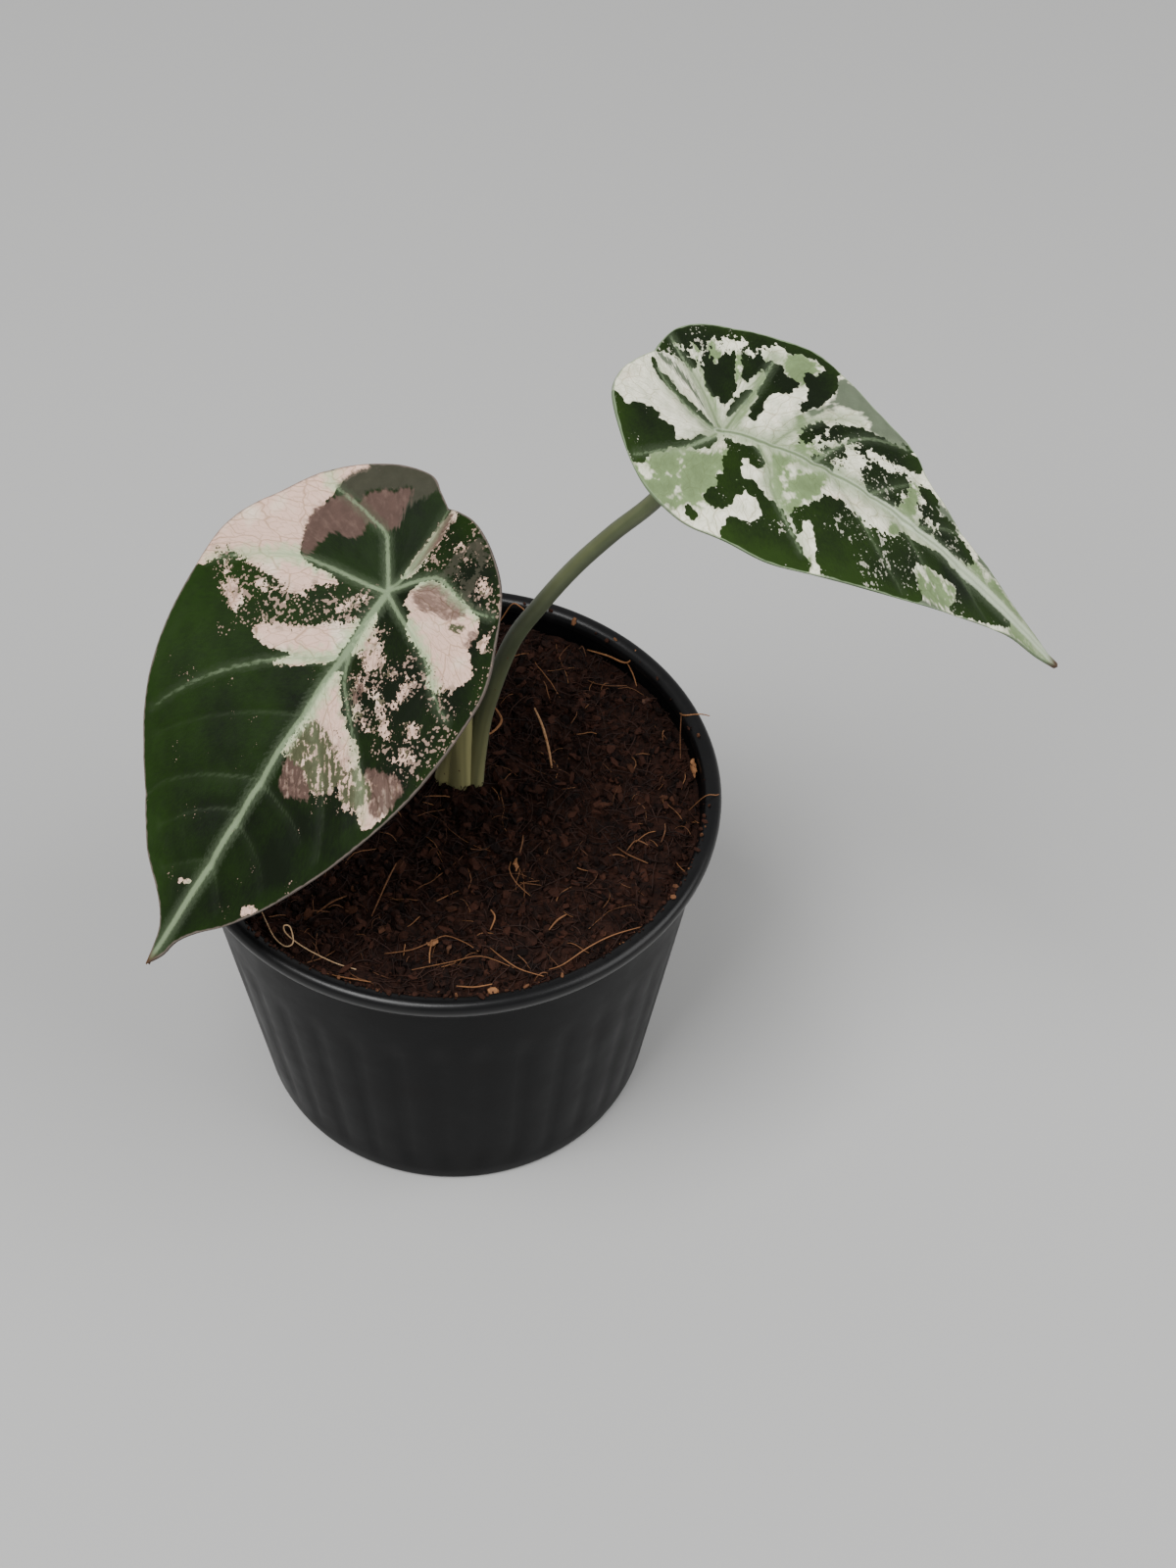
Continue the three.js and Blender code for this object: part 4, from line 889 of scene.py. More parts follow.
    def fine_net(self):
        """The lines of the net of fine veins, in two sizes of long cells."""
        crooked = self.wander(self.lay, 2.0, 0.3)
        broad = self.within(self.walls(crooked, (0.34, 0.13, 1.0)), 0.0, 0.045)
        fine = self.band(self.walls(crooked, (1.0, 0.3, 1.0)), 0.0, 0.08, 0.6, 0.0)
        return self.larger(broad, fine)

    def near(self, distance, ragged, low, high):
        """How near a line is, with an edge that is feathered by the weave."""
        return self.within(self.add(distance, self.times(self.feather, ragged)), low, high)

    def with_veins(self, colour, pale):
        """The colour with its side veins and midrib, each a core in a soft halo, and a painted groove shade
        down the midrib's middle.
        """
        look = self.look
        silver = self.settings.silver
        vein_core = self.times(self.within(self.soft_vein, -0.1, 0.25), self.vein_show)
        vein_line = self.times(self.near(self.value("vein"), 0.3, -0.2, 0.14), self.vein_show)
        vein_halo = self.times(self.near(self.soft_vein, 1.0, 0.0, 1.5), self.vein_show)
        spine_core = self.near(self.spine, 0.8, -0.2, 0.3)
        spine_halo = self.near(self.spine, 2.8, 0.0, 1.9)
        # A dark line down the middle of the midrib, strong on the paler leaf: painted groove shade, partly
        # the midrib's own darker core
        groove_shade = self.times(self.near(self.value("groove_shade"), 0.25, 0.16, 0.5),
                          self.band(self.along, 20.0, 60.0, 1.0, 0.25))

        halo = self.blend(pale, scaled(silver, 0.36), look["flush"])
        on_green = self.band(pale, 0.0, 1.0, 0.65, 0.5)
        colour = self.blend(self.times(vein_halo, on_green), colour, halo)
        colour = self.blend(self.times(spine_halo, on_green), colour, halo)
        core = self.blend(pale, vein_core, vein_line)
        colour = self.blend(self.times(core, 0.75), colour, self.blend(pale, silver, look["line"]))
        colour = self.blend(self.times(spine_core, 0.8), colour, look["vein"])
        return self.blend(self.times(groove_shade, look["groove_shade"]), colour, look["line"])

    def with_edges(self, colour):
        """The colour with its pale margin, its duller back and its dry tip."""
        look = self.look
        line = self.within(self.add(self.rim, self.times(self.lumps, 0.4)), 0.1, look["rim_width"])
        colour = self.blend(self.times(line, 0.8), colour, look["rim"])
        back = self.blend(0.55, colour, scaled(look["half"], 0.4))
        colour = self.blend(self.value("under"), colour, back)
        return self.blend(self.value("dry_tip"), colour, self.settings.dry)

    def tissue(self):
        masks = self.masks()
        pale = self.times(masks["cream"], self.less(1.0, masks["green"]))
        net = self.fine_net()
        bare = self.times(self.less(1.0, masks["sage"]), self.band(masks["mint"], 0.0, 1.0, 0.9, 0.35))
        bare = self.times(bare, pale)
        colour = self.shade(self.times(net, bare), self.patchwork(masks), self.settings.net)
        colour = self.with_edges(self.with_veins(colour, pale))

        pile = self.noise(self.place(), 5200.0, 2.0, 0.6)
        dents = self.times(net, self.band(bare, 0.0, 1.0, -0.15, -0.6))
        self.bump(self.add(self.times(pile, 0.5), dents, self.times(self.weave, 0.7)), 0.00006, 0.8)
        return self.finish(colour, self.band(pale, 0.0, 1.0, 0.62, 0.5), sheen_weight=0.02,
                           sheen_roughness=0.4, specular_ior_level=0.12)


def stem_material(settings):
    graph = Graph("alocasia_stem_skin")
    at = graph.vector("stem_mm")
    sheath = graph.value("sheath")
    cloud = graph.noise(at, 0.16, 2.0)
    colour = graph.blend(graph.band(cloud, 0.3, 0.75), settings.green, scaled(settings.green, 1.3))
    colour = graph.blend(graph.times(sheath, 0.8), colour, scaled(settings.pale, 0.8))
    long_streaks = graph.noise(graph.stretch(at, (0.55, 0.02, 1.0)), 1.0, 1.0, 0.4)
    amount = graph.times(graph.band(long_streaks, 0.46, 0.62), graph.band(sheath, 0.0, 1.0, 0.05, 0.7))
    colour = graph.blend(amount, colour, settings.pale)
    marks = graph.noise(graph.stretch(at, (0.9, 0.6, 1.0)), 1.0, 1.0)
    colour = graph.blend(graph.band(marks, 0.755, 0.785), colour, settings.mark)
    ribs = graph.noise(graph.stretch(at, (2.4, 0.05, 1.0)), 1.0, 2.0, 0.5)
    graph.bump(graph.add(ribs, graph.times(graph.noise(graph.place(), 4200.0, 2.0), 0.4)), 0.00004, 0.8)
    return graph.finish(colour, 0.46, specular_ior_level=0.4, sheen_weight=0.08)


def pot_material(settings, name, gloss):
    graph = Graph(name)
    at = graph.place()
    dust = graph.noise(at, 90.0, 4.0, 0.65)
    colour = graph.blend(graph.band(dust, 0.5, 0.85, 0.0, 0.2), settings.colour, (0.024, 0.02, 0.018))
    scuffs = graph.noise(graph.stretch(at, (1.0, 1.0, 0.18)), 420.0, 3.0, 0.6)
    grain = graph.noise(at, 2600.0, 2.0)
    graph.bump(graph.add(graph.times(grain, 0.5), graph.times(scuffs, 0.6)), 0.00004, 0.6)
    return graph.finish(colour, graph.band(dust, 0.3, 0.8, 0.28, 0.42), specular_ior_level=gloss)


def soil_material(settings):
    graph = Graph("coir_pith")
    at = graph.place()
    lumps = graph.noise(at, 260.0, 4.0, 0.65)
    grains = graph.noise(at, 1500.0, 3.0, 0.7)
    tone = graph.value("tone")
    amount = graph.band(graph.add(graph.times(lumps, 0.8), graph.times(grains, 0.6), tone), 0.52, 1.05)
    colour = graph.blend(amount, settings.dark, settings.brown)
    colour = graph.blend(graph.band(tone, 0.42, 1.0), colour, settings.straw)
    graph.bump(graph.add(grains, lumps), 0.0004, 0.9)
    return graph.finish(colour, 0.9, specular_ior_level=0.2)


def fibre_material(settings):
    graph = Graph("coir_fibre")
    streaks = graph.noise(graph.place(), 1400.0, 3.0, 0.6)
    tone = graph.add(graph.value("tone"), graph.times(graph.add(streaks, -0.5), 0.35))
    colour = graph.blend(graph.band(tone, 0.0, 0.55), settings.dark, settings.brown)
    colour = graph.blend(graph.band(tone, 0.45, 0.8), colour, settings.tan)
    colour = graph.blend(graph.band(tone, 0.8, 1.05), colour, settings.bleached)
    graph.bump(streaks, 0.0001, 0.8)
    return graph.finish(colour, 0.7, specular_ior_level=0.3)


def tuber_material():
    graph = Graph("tuber_skin")
    rings = graph.noise(graph.stretch(graph.place(), (1.0, 1.0, 7.0)), 160.0, 3.0)
    colour = graph.blend(graph.band(rings, 0.35, 0.7), (0.05, 0.024, 0.012), (0.2, 0.115, 0.06))
    graph.bump(rings, 0.0004, 0.8)
    return graph.finish(colour, 0.8)


def floor_material(settings):
    graph = Graph("studio_floor")
    cloud = graph.noise(graph.place(), 2.0, 3.0)
    colour = graph.blend(graph.band(cloud, 0.3, 0.7), settings.floor, scaled(settings.floor, 0.97))
    return graph.finish(colour, 0.75, specular_ior_level=0.2)


# Meshes


def finish_piece(name, bm, material, node=None, sharp=40.0):
    """Turns a bmesh into a piece of the plant, at the origin, riding on the part's body."""
    mesh = bpy.data.meshes.new(name)
    bm.to_mesh(mesh)
    bm.free()
    mesh.polygons.foreach_set("use_smooth", [True] * len(mesh.polygons))
    if sharp:
        mesh.set_sharp_from_angle(angle=math.radians(sharp))
    mesh.materials.append(material)
    piece = bpy.data.objects.new(name, mesh)
    bpy.context.scene.collection.objects.link(piece)
    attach(piece, "root")
    if node:
        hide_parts(node)
    return piece


def between(values, station):
    """The value at a station between two listed ones, on a smooth curve through them."""
    values = np.asarray(values, float)
    last = len(values) - 1
    low = np.clip(np.floor(station).astype(int), 0, last - 1)
    share = station - low
    if values.ndim > 1:
        share = share[:, None]
    before, start, end, after = (values[np.clip(low + step, 0, last)] for step in (-1, 0, 1, 2))
    leaving, arriving = (end - before) / 2, (after - start) / 2
    square, cube = share ** 2, share ** 3
    return ((2 * cube - 3 * square + 1) * start + (cube - 2 * square + share) * leaving
            + (3 * square - 2 * cube) * end + (cube - square) * arriving)


def smooth_path(points, steps):
    """A denser path through the points, even between each two of them."""
    values = np.array(points, float)
    station = np.linspace(0, len(values) - 1, (len(values) - 1) * steps + 1)
    return between(values, station)


def add_bar(bm, centres, radii, sides, layer=None, tone=0.0):
    """A closed round bar: a capped ring, extruded from centre to centre. Returns the rings' vertices."""
    centres = [Vector(centre) for centre in centres]
    rings = []
    place = None
    side = None
    cap = None
    for index, centre in enumerate(centres):
        ahead = centres[min(index + 1, len(centres) - 1)] - centres[max(index - 1, 0)]
        ahead.normalize()
        if side is None:
            side = ahead.orthogonal()
        side = (side - ahead * side.dot(ahead)).normalized()
        turn = Matrix((side, ahead.cross(side), ahead)).transposed().to_4x4()
        was, place = place, Matrix.Translation(centre) @ turn @ Matrix.Scale(radii[index], 4)
        if cap is None:
            made = bmesh.ops.create_circle(bm, cap_ends=True, segments=sides, radius=1.0, matrix=place)
            ring = made["verts"]
            cap = ring[0].link_faces[0]
        else:
            made = bmesh.ops.extrude_face_region(bm, geom=[cap], use_keep_orig=index == 1)
            ring = [item for item in made["geom"] if isinstance(item, bmesh.types.BMVert)]
            cap = next(item for item in made["geom"] if isinstance(item, bmesh.types.BMFace))
            bmesh.ops.transform(bm, matrix=place @ was.inverted(), verts=ring)
        if layer is not None:
            for vert in ring:
                vert[layer] = tone
        rings.append(ring)
    return rings


def toned_bmesh():
    """An empty bmesh whose points carry a tone, from dark to pale."""
    bm = bmesh.new()
    return bm, bm.verts.layers.float.new("tone")


def gather(batches):
    """One bmesh from several, each made small so that its operators stay quick."""
    whole = bmesh.new()
    for batch in batches:
        bmesh.ops.recalc_face_normals(batch, faces=batch.faces)
        mesh = bpy.data.meshes.new("batch")
        batch.to_mesh(mesh)
        batch.free()
        whole.from_mesh(mesh)
        bpy.data.meshes.remove(mesh)
    return whole


def spun(profile, steps):
    """A closed body of revolution from a section that starts and ends on the axis."""
    bm = bmesh.new()
    verts = [bm.verts.new((radius, 0.0, height)) for radius, height in profile]
    edges = [bm.edges.new(pair) for pair in zip(verts[:-1], verts[1:])]
    bmesh.ops.spin(bm, geom=verts + edges, cent=(0, 0, 0), axis=(0, 0, 1), angle=2 * math.pi, steps=steps,
                   use_merge=True)
    bmesh.ops.remove_doubles(bm, verts=bm.verts, dist=0.005 * MM)
    bmesh.ops.recalc_face_normals(bm, faces=bm.faces)
    return bm


def cut(piece, cutter):
    """Cuts one piece with another body and keeps the result as its mesh."""
    trim = piece.modifiers.new("cut", "BOOLEAN")
    trim.object = cutter
    trim.operation = "DIFFERENCE"
    trim.solver = "EXACT"
    graph = bpy.context.evaluated_depsgraph_get()
    mesh = bpy.data.meshes.new_from_object(piece.evaluated_get(graph))
    piece.modifiers.clear()
    piece.data = mesh
    bpy.data.objects.remove(cutter)


# Blade shape


def line_points(station, share, edge, blade):
    """Places on the transverse lines, which leave the midrib and sweep to the edge."""
    foot = np.maximum(0, between(blade["foot"], station))
    reach = between(edge, station)
    lead = np.where(reach[:, 0] < foot, BACK_LEAD, FRONT_LEAD)
    bend = foot + lead * (reach[:, 0] - foot)
    ease = 1 - share
    along = ease ** 2 * foot + 2 * ease * share * bend + share ** 2 * reach[:, 0]
    across = 2 * ease * share * 0.5 * reach[:, 1] + share ** 2 * reach[:, 1]
    return np.column_stack((along, across))


def pitch_at(along, blade):
    """How far the midrib's line has turned down, ahead of the hub and behind it."""
    ahead = blade["arch"] * along + 0.5 * blade["arch_change"] * along ** 2
    behind = (blade["lobe_rise"] + LOBE_CURL * along) * (1 - np.exp(np.minimum(along, 0) / HUB_SOFTNESS))
    return np.where(along >= 0, ahead, behind)


def summed(slope, step):
    """The running sum of a slope over even steps, by its mean between each two places."""
    return np.concatenate(([0], np.cumsum((slope[1:] + slope[:-1]) / 2 * step)))


def blade_points(places, blade):
    """Points in millimetres for places [along, across] on the blade's middle surface."""
    along, across = places[:, 0], places[:, 1]
    reach = np.linspace(*BLADE_SPAN, 2601)
    pitch = pitch_at(reach, blade)
    step = reach[1] - reach[0]
    forward = summed(np.cos(pitch), step)
    lift = -summed(np.sin(pitch), step)
    forward = np.interp(along, reach, forward) - np.interp(0, reach, forward)
    lift = np.interp(along, reach, lift) - np.interp(0, reach, lift)

    heading, dip, roll = (math.radians(blade[key]) for key in ("heading", "dip", "roll"))
    ahead = np.array((math.cos(heading) * math.cos(dip), math.sin(heading) * math.cos(dip), -math.sin(dip)))
    level = np.array((-math.sin(heading), math.cos(heading), 0.0))
    aside = math.cos(roll) * level + math.sin(roll) * np.cross(ahead, level)
    face = np.cross(ahead, aside)

    curl = np.where(across > 0, blade["curl_plus"], blade["curl_minus"])
    bend = blade["fold"] + curl * np.abs(across)
    side = np.sign(across) * (np.sin(bend) - math.sin(blade["fold"])) / curl
    phase = blade["wave_phase"] + np.where(across > 0, 0.0, WAVE_SHIFT)
    wave = WAVE_HEIGHT * (across / WAVE_REACH) ** 2 * np.sin(2 * math.pi * along / WAVE_LENGTH + phase)
    height = (np.cos(bend) - math.cos(blade["fold"])) / curl + wave
    turn = pitch_at(along, blade)
    upright = np.outer(np.sin(turn), ahead) + np.outer(np.cos(turn), face)
    return (np.array(blade["hub"]) + np.outer(forward, ahead) + np.outer(lift, face) + np.outer(side, aside)
            + height[:, None] * upright)


def blade_normals(places, blade):
    reach = 0.6
    ahead = blade_points(places + (reach, 0), blade) - blade_points(places - (reach, 0), blade)
    aside = blade_points(places + (0, reach), blade) - blade_points(places - (0, reach), blade)
    normals = np.cross(ahead, aside)
    return normals / np.linalg.norm(normals, axis=1)[:, None]


def path_distance(places, path, widths=None):
    """How far each place is from a path, less the path's half width there."""
    nearest = np.full(len(places), 1e3)
    for index in range(len(path) - 1):
        start, end = path[index], path[index + 1]
        run = end - start
        share = np.clip(((places - start) @ run) / max(run @ run, 1e-9), 0, 1)
        distance = np.hypot(*(places - start - share[:, None] * run).T)
        if widths is not None:
            distance = distance - (widths[index] + share * (widths[index + 1] - widths[index]))
        nearest = np.minimum(nearest, distance)
    return nearest


def patch_depth(places, outlines):
    """How deep each place lies inside the nearest patch, and below zero outside them all."""
    depth = np.full(len(places), -FIELD_REACH)
    for outline in outlines:
        corners = np.array(outline, float)
        ring = np.vstack((corners[-2:], corners, corners[:3]))
        station = np.linspace(2, 2 + len(corners), len(corners) * 3 + 1)
        path = between(ring, station)
        low, high = path.min(axis=0) - FIELD_REACH, path.max(axis=0) + FIELD_REACH
        near = np.nonzero(((places > low) & (places < high)).all(axis=1))[0]
        if len(near) == 0:
            continue
        spots = places[near]
        inside = np.zeros(len(spots), bool)
        for start, end in zip(path[:-1], path[1:]):
            crosses = (start[1] > spots[:, 1]) != (end[1] > spots[:, 1])
            slope = (end[0] - start[0]) / (end[1] - start[1] if end[1] != start[1] else 1e-9)
            inside ^= crosses & (spots[:, 0] < start[0] + slope * (spots[:, 1] - start[1]))
        distance = path_distance(spots, path)
        depth[near] = np.maximum(depth[near], np.where(inside, distance, -distance))
    return np.clip(depth, -FIELD_REACH, FIELD_REACH)


def edge_distance(places, blade):
    station = np.linspace(0, len(blade["foot"]) - 1, 120)
    outline = np.vstack((between(blade["plus"], station), between(blade["minus"], station)[::-1]))
    return path_distance(places, outline)


def vein_reading(places, name):
    """Distance from the edge of the nearest side vein, and how plainly that vein shows there."""
    nearest = np.full(len(places), 1e3)
    plain = np.zeros(len(places))
    for start, end, points in VEINS[name]:
        path = smooth_path(points, 3)
        distance = path_distance(places, path, np.linspace(*VEIN_WIDTH, len(path)))
        run = path[-1] - path[0]
        share = np.clip((places - path[0]) @ run / (run @ run), 0, 1)
        plain = np.where(distance < nearest, start + (end - start) * share, plain)
        nearest = np.minimum(nearest, distance)
    return nearest, plain


def vein_distance(places, name):
    return vein_reading(places, name)[0]


def midrib_distance(places, name):
    rib = smooth_path(MIDRIBS[name], 3)
    return path_distance(places, rib[:, :2], rib[:, 2])


def blade_fields(places, name, blade):
    """The values that the leaf's material reads at each point of its mesh."""
    marks = MARKINGS[name]
    patches = ("cream", "sage", "mint", "mauve", "green")
    fields = {patch: patch_depth(places, marks[patch]) for patch in patches}
    fields["lace"] = np.clip(0.5 + patch_depth(places, marks["lace"]) / LACE_EDGE, 0, 1)
    distance, plain = vein_reading(places, name)
    fields["vein"] = np.clip(distance, -1, 6)
    fields["vein_show"] = plain
    fields["midrib"] = np.clip(midrib_distance(places, name), -2, 4)
    # Distance from the midrib's centre line, which places the painted groove shade down the midrib
    fields["groove_shade"] = np.clip(path_distance(places, smooth_path(MIDRIBS[name], 3)[:, :2]), 0, 4)
    fields["rim"] = np.clip(edge_distance(places, blade), 0, 6)
    length = blade["foot"][-1]
    fields["dry_tip"] = np.clip((places[:, 0] - length + DRY_START) / DRY_LENGTH, 0, 1)
    return fields


def blade_lift(places, name, settings):
    """Relief of the upper face: sunken side veins, a raised midrib and the quilting between them."""
    vein = np.maximum(vein_distance(places, name), 0)
    rib = np.maximum(midrib_distance(places, name), 0)
    trough = -settings.vein_sink / MM * np.exp(-(vein / TROUGH_REACH) ** 2)
    swell = SWELL_HEIGHT * (1 - np.exp(-(vein / SWELL_REACH) ** 2))
    ridge = RIDGE_HEIGHT * np.exp(-(rib / RIDGE_REACH) ** 2)
    ripple = [noise.noise(Vector((x * 0.35, y * 0.35, 3.0))) + 0.5 * noise.noise(Vector((x, y, 9.0)))
              for x, y in places]
    return trough + swell + ridge + RIPPLE_HEIGHT * np.array(ripple)


def blade_rib_depth(places, name, blade, settings):
    """How far the ribs stand out under the blade."""
    length = blade["foot"][-1]
    taper = np.clip(1 - np.maximum(places[:, 0], 0) / length, 0.05, 1)
    width = RIB_TIP_WIDTH + RIB_GAIN * taper
    spine = path_distance(places, np.array(((0.0, 0.0), (length, 0.0))))
    bulge = np.sqrt(np.clip(1 - (spine / width) ** 2, 0, 1))
    midrib = bulge * settings.rib_height / MM * (0.25 + 0.75 * taper)
    vein = np.maximum(vein_distance(places, name) + VEIN_WIDTH[0], 0)
    side = np.sqrt(np.clip(1 - (vein / SIDE_RIB_WIDTH) ** 2, 0, 1)) * SIDE_RIB_HEIGHT
    return np.maximum(midrib, side)


def blade_bmesh(name, blade, settings):
    """Two halves of a grid laid along the veins, joined on the midrib, then given their thickness."""
    bm = bmesh.new()
    place_layer = bm.verts.layers.float_vector.new("leaf_mm")
    lay_layer = bm.verts.layers.float_vector.new("lay_mm")
    under_layer = bm.verts.layers.float.new("under")
    last = len(blade["foot"]) - 1
    for side, edge in ((1, blade["plus"]), (-1, blade["minus"])):
        made = bmesh.ops.create_grid(bm, x_segments=BLADE_LINES, y_segments=BLADE_COLUMNS, size=0.5)
        flat = np.array([vert.co for vert in made["verts"]])
        station = np.clip((flat[:, 0] + 0.5) * last, 0, last)
        share = np.clip(flat[:, 1] + 0.5, 0, 1)
        places = line_points(station, share, edge, blade)
        lift = blade_lift(places, name, settings)
        points = blade_points(places, blade) + blade_normals(places, blade) * lift[:, None]
        for vert, point, place, line, part in zip(made["verts"], points, places, station, share):
            vert.co = point * MM
            vert[place_layer] = (*place, 0.0)
            vert[lay_layer] = (line * LAY_PER_LINE, side * part * LAY_PER_SIDE, 0.0)
    bmesh.ops.remove_doubles(bm, verts=bm.verts, dist=0.004 * MM)

    made = bmesh.ops.extrude_face_region(bm, geom=list(bm.faces), use_keep_orig=True)
    below = [item for item in made["geom"] if isinstance(item, bmesh.types.BMVert)]
    places = np.array([vert[place_layer][:2] for vert in below])
    margin = np.clip(edge_distance(places, blade) / MARGIN_TAPER, 0, 1)
    thickness = settings.thickness / MM * (MARGIN_SHARE + (1 - MARGIN_SHARE) * margin)
    depth = thickness + blade_rib_depth(places, name, blade, settings) * margin
    points = blade_points(places, blade) - blade_normals(places, blade) * depth[:, None]
    for vert, point in zip(below, points):
        vert.co = point * MM
        vert[under_layer] = 1.0
    bmesh.ops.dissolve_degenerate(bm, dist=0.002 * MM, edges=bm.edges)
    bmesh.ops.recalc_face_normals(bm, faces=bm.faces)
    return bm


def add_values(mesh, name, values):
    attribute = mesh.attributes.new(name, "FLOAT", "POINT")
    attribute.data.foreach_set("value", np.asarray(values, np.float32))


# Stem shape


def add_core(bm, stem, skin_layer, sheath_layer):
    """The short bar inside a sheath, where it joins the other stem."""
    core = smooth_path(stem["core"], 6) * MM
    for ring in add_bar(bm, core[:, :3], core[:, 3], CORE_SIDES):
        for vert in ring:
            vert[skin_layer] = (vert.co.x / MM + 11, vert.co.z / MM - 66, 0.0)
            vert[sheath_layer] = CORE_TINT


def stem_bmesh(stem):
    """A stem with its sheathing foot, the seam down the sheath and the flare under the blade's hub."""
    bm = bmesh.new()
    skin_layer = bm.verts.layers.float_vector.new("stem_mm")
    sheath_layer = bm.verts.layers.float.new("sheath")
    centres = smooth_path(stem["route"], 12)
    along = np.concatenate(([0], np.cumsum(np.linalg.norm(np.diff(centres, axis=0), axis=1))))
    taper = stem["radius"] + (stem["top_radius"] - stem["radius"]) * along / along[-1]
    foot = (stem["foot_radius"] - stem["radius"]) * np.exp(-(along / (2 * stem["sheath"])) ** 2)
    flare = HUB_FLARE * np.exp(-((along[-1] - along) / HUB_FLARE_LENGTH) ** 2)
    radii = (taper + foot + flare) * MM
    rings = add_bar(bm, centres * MM, radii, STEM_SIDES)
    if stem["core"]:
        add_core(bm, stem, skin_layer, sheath_layer)
    for ring, distance, centre, radius in zip(rings, along, centres * MM, radii):
        wrap = math.exp(-(max(distance - 8.0, 0.0) / (1.6 * stem["sheath"])) ** 2)
        for vert in ring:
            out = vert.co - Vector(centre)
            angle = math.atan2(out.y, out.x)
            seam = wrap * SEAM_DEPTH * math.exp(-((angle - SEAM_AT) / SEAM_WIDTH) ** 2)
            vert.co = Vector(centre) + out * (1 - seam)
            vert[skin_layer] = (angle * radius / MM, distance, 0.0)
            vert[sheath_layer] = wrap * stem["sheath_tint"]
    bmesh.ops.recalc_face_normals(bm, faces=bm.faces)
    return bm


# Pot shape


def pot_radius(z, settings):
    """Outer radius of the pot's wall at a height, both in metres."""
    head = settings.rim_radius - RIM_OVERHANG
    return settings.base_radius + (head - settings.base_radius) * (z / (settings.height - RIM_SKIRT))


def pot_profile(pot):
    """The pot's section as [radius, height], from its underside's middle, out, up and back to the middle."""
    top, rim = pot.height, pot.rim_radius
    skirt = top - RIM_SKIRT
    foot = [(0.0, 0.0), (0.02, 0.0)]
    foot += [(pot.base_radius - inward * MM, up * MM) for inward, up in FOOT_SECTION]
    foot += [(pot_radius(0.0009, pot) - 0.0002, 0.0008), (pot_radius(0.002, pot), 0.002)]
    outside = [(pot_radius(z, pot), z) for z in np.linspace(0.005, skirt - 0.0006, 22)]
    outside.append((pot_radius(skirt, pot) + 0.0002, skirt))
    rolled = [(rim - inward * MM, top - down * MM) for inward, down in RIM_SECTION]
    inside = [(pot_radius(z, pot) - pot.wall, z) for z in np.linspace(top - 0.012, pot.floor + 0.001, 10)]
    inside += [(pot_radius(pot.floor, pot) - pot.wall - 0.001, pot.floor), (0.0, pot.floor)]
    return foot + outside + rolled + inside


def pot_bmesh(pot):
    """The pot without its holes: the spun section, with the flutes sunk into its outside."""
    bm = spun(pot_profile(pot), pot.flutes * STEPS_PER_FLUTE)
    for vert in bm.verts:
        x, y, z = vert.co
        radius = math.hypot(x, y)
        if radius > pot_radius(z, pot) - pot.wall / 2:
            from_foot = min(1.0, max(0.0, (z - FLUTE_FOOT) / FLUTE_FADE))
            fade = from_foot * min(1.0, max(0.0, (FLUTE_HEAD - z) / FLUTE_FADE))
            wave = 0.5 + 0.5 * math.cos(pot.flutes * math.atan2(y, x))
            scale = 1 - pot.flute_depth * fade * wave ** 3 / max(radius, 1e-6)
            vert.co = (x * scale, y * scale, z)
    for face in bm.faces:
        face.material_index = 1 if face.calc_center_median().z > pot.height - RIM_SKIRT - 0.0002 else 0
    return bm


def pot_drills(pot):
    """The cutters for the drain holes, as one object."""
    bm = bmesh.new()
    for hole in range(pot.holes):
        turn = Matrix.Rotation(2 * math.pi * hole / pot.holes, 4, "Z")
        place = turn @ Matrix.Translation((DRAIN_RING, 0, pot.floor / 2))
        bmesh.ops.create_cone(bm, cap_ends=True, segments=32, radius1=DRAIN_RADIUS, radius2=DRAIN_RADIUS,
                              depth=0.006, matrix=place)
    mesh = bpy.data.meshes.new("drills")
    bm.to_mesh(mesh)
    bm.free()
    drills = bpy.data.objects.new("drills", mesh)
    bpy.context.scene.collection.objects.link(drills)
    return drills


# Soil shape


def soil_height(x, y, settings):
    """Height of the soil in metres at a place in millimetres."""
    reach = math.hypot(x, y) / RIM_RADIUS_MM
    lumps = math.sin(0.31 * x + 1.7 * math.sin(0.13 * y)) * math.cos(0.27 * y + 1.1 * math.sin(0.19 * x))
    grains = 0.5 * math.sin(0.83 * x + 0.4 * y) * math.sin(0.71 * y - 0.5 * x)
    heap = HEAP_HEIGHT * math.exp(-((x - HEAP_AT[0]) ** 2 + (y - HEAP_AT[1]) ** 2) / HEAP_SPREAD)
    return settings.level + settings.crown * (1 - reach * reach) + SOIL_LUMPS * (lumps + grains) + heap


def soil_bed(soil, pot, wall):
    """The plug, whose top has the soil's lumps and finer bumps."""
    foot = pot_radius(0.003, pot) - pot.wall - 0.0005
    profile = [(0.0, SOIL_UNDERSIDE), (foot, SOIL_UNDERSIDE), (wall, soil.level - 0.004)]
    profile += [(wall * reach, soil.level) for reach in np.linspace(1.0, 0.0, SOIL_RINGS) ** 0.75]
    bm = spun(profile, SOIL_STEPS)
    tone = bm.verts.layers.float.new("tone")
    for vert in bm.verts:
        x, y, z = vert.co
        if z > soil.level - 0.001:
            at = Vector((x, y, 0)) / MM
            bumps = 0.55 * noise.noise(at * 0.45) + 0.5 * noise.noise(at * 1.1) + 0.35 * noise.noise(at * 2.6)
            vert.co = (x, y, soil_height(at.x, at.y, soil) + bumps * MM - 0.0003)
            vert[tone] = 0.16 * noise.noise(at * 0.3)
    bmesh.ops.recalc_face_normals(bm, faces=bm.faces)
    return bm


def drawn_spot(draw, reach):
    """A place within a radius, as likely anywhere on the surface."""
    radius = reach * math.sqrt(draw.random())
    turn = 2 * math.pi * draw.random()
    return radius * math.cos(turn), radius * math.sin(turn)


def drawn_shape(draw, *spans):
    """A stretch along each axis, each drawn from its own span."""
    return Matrix.Diagonal((*[draw.uniform(*span) for span in spans], 1))


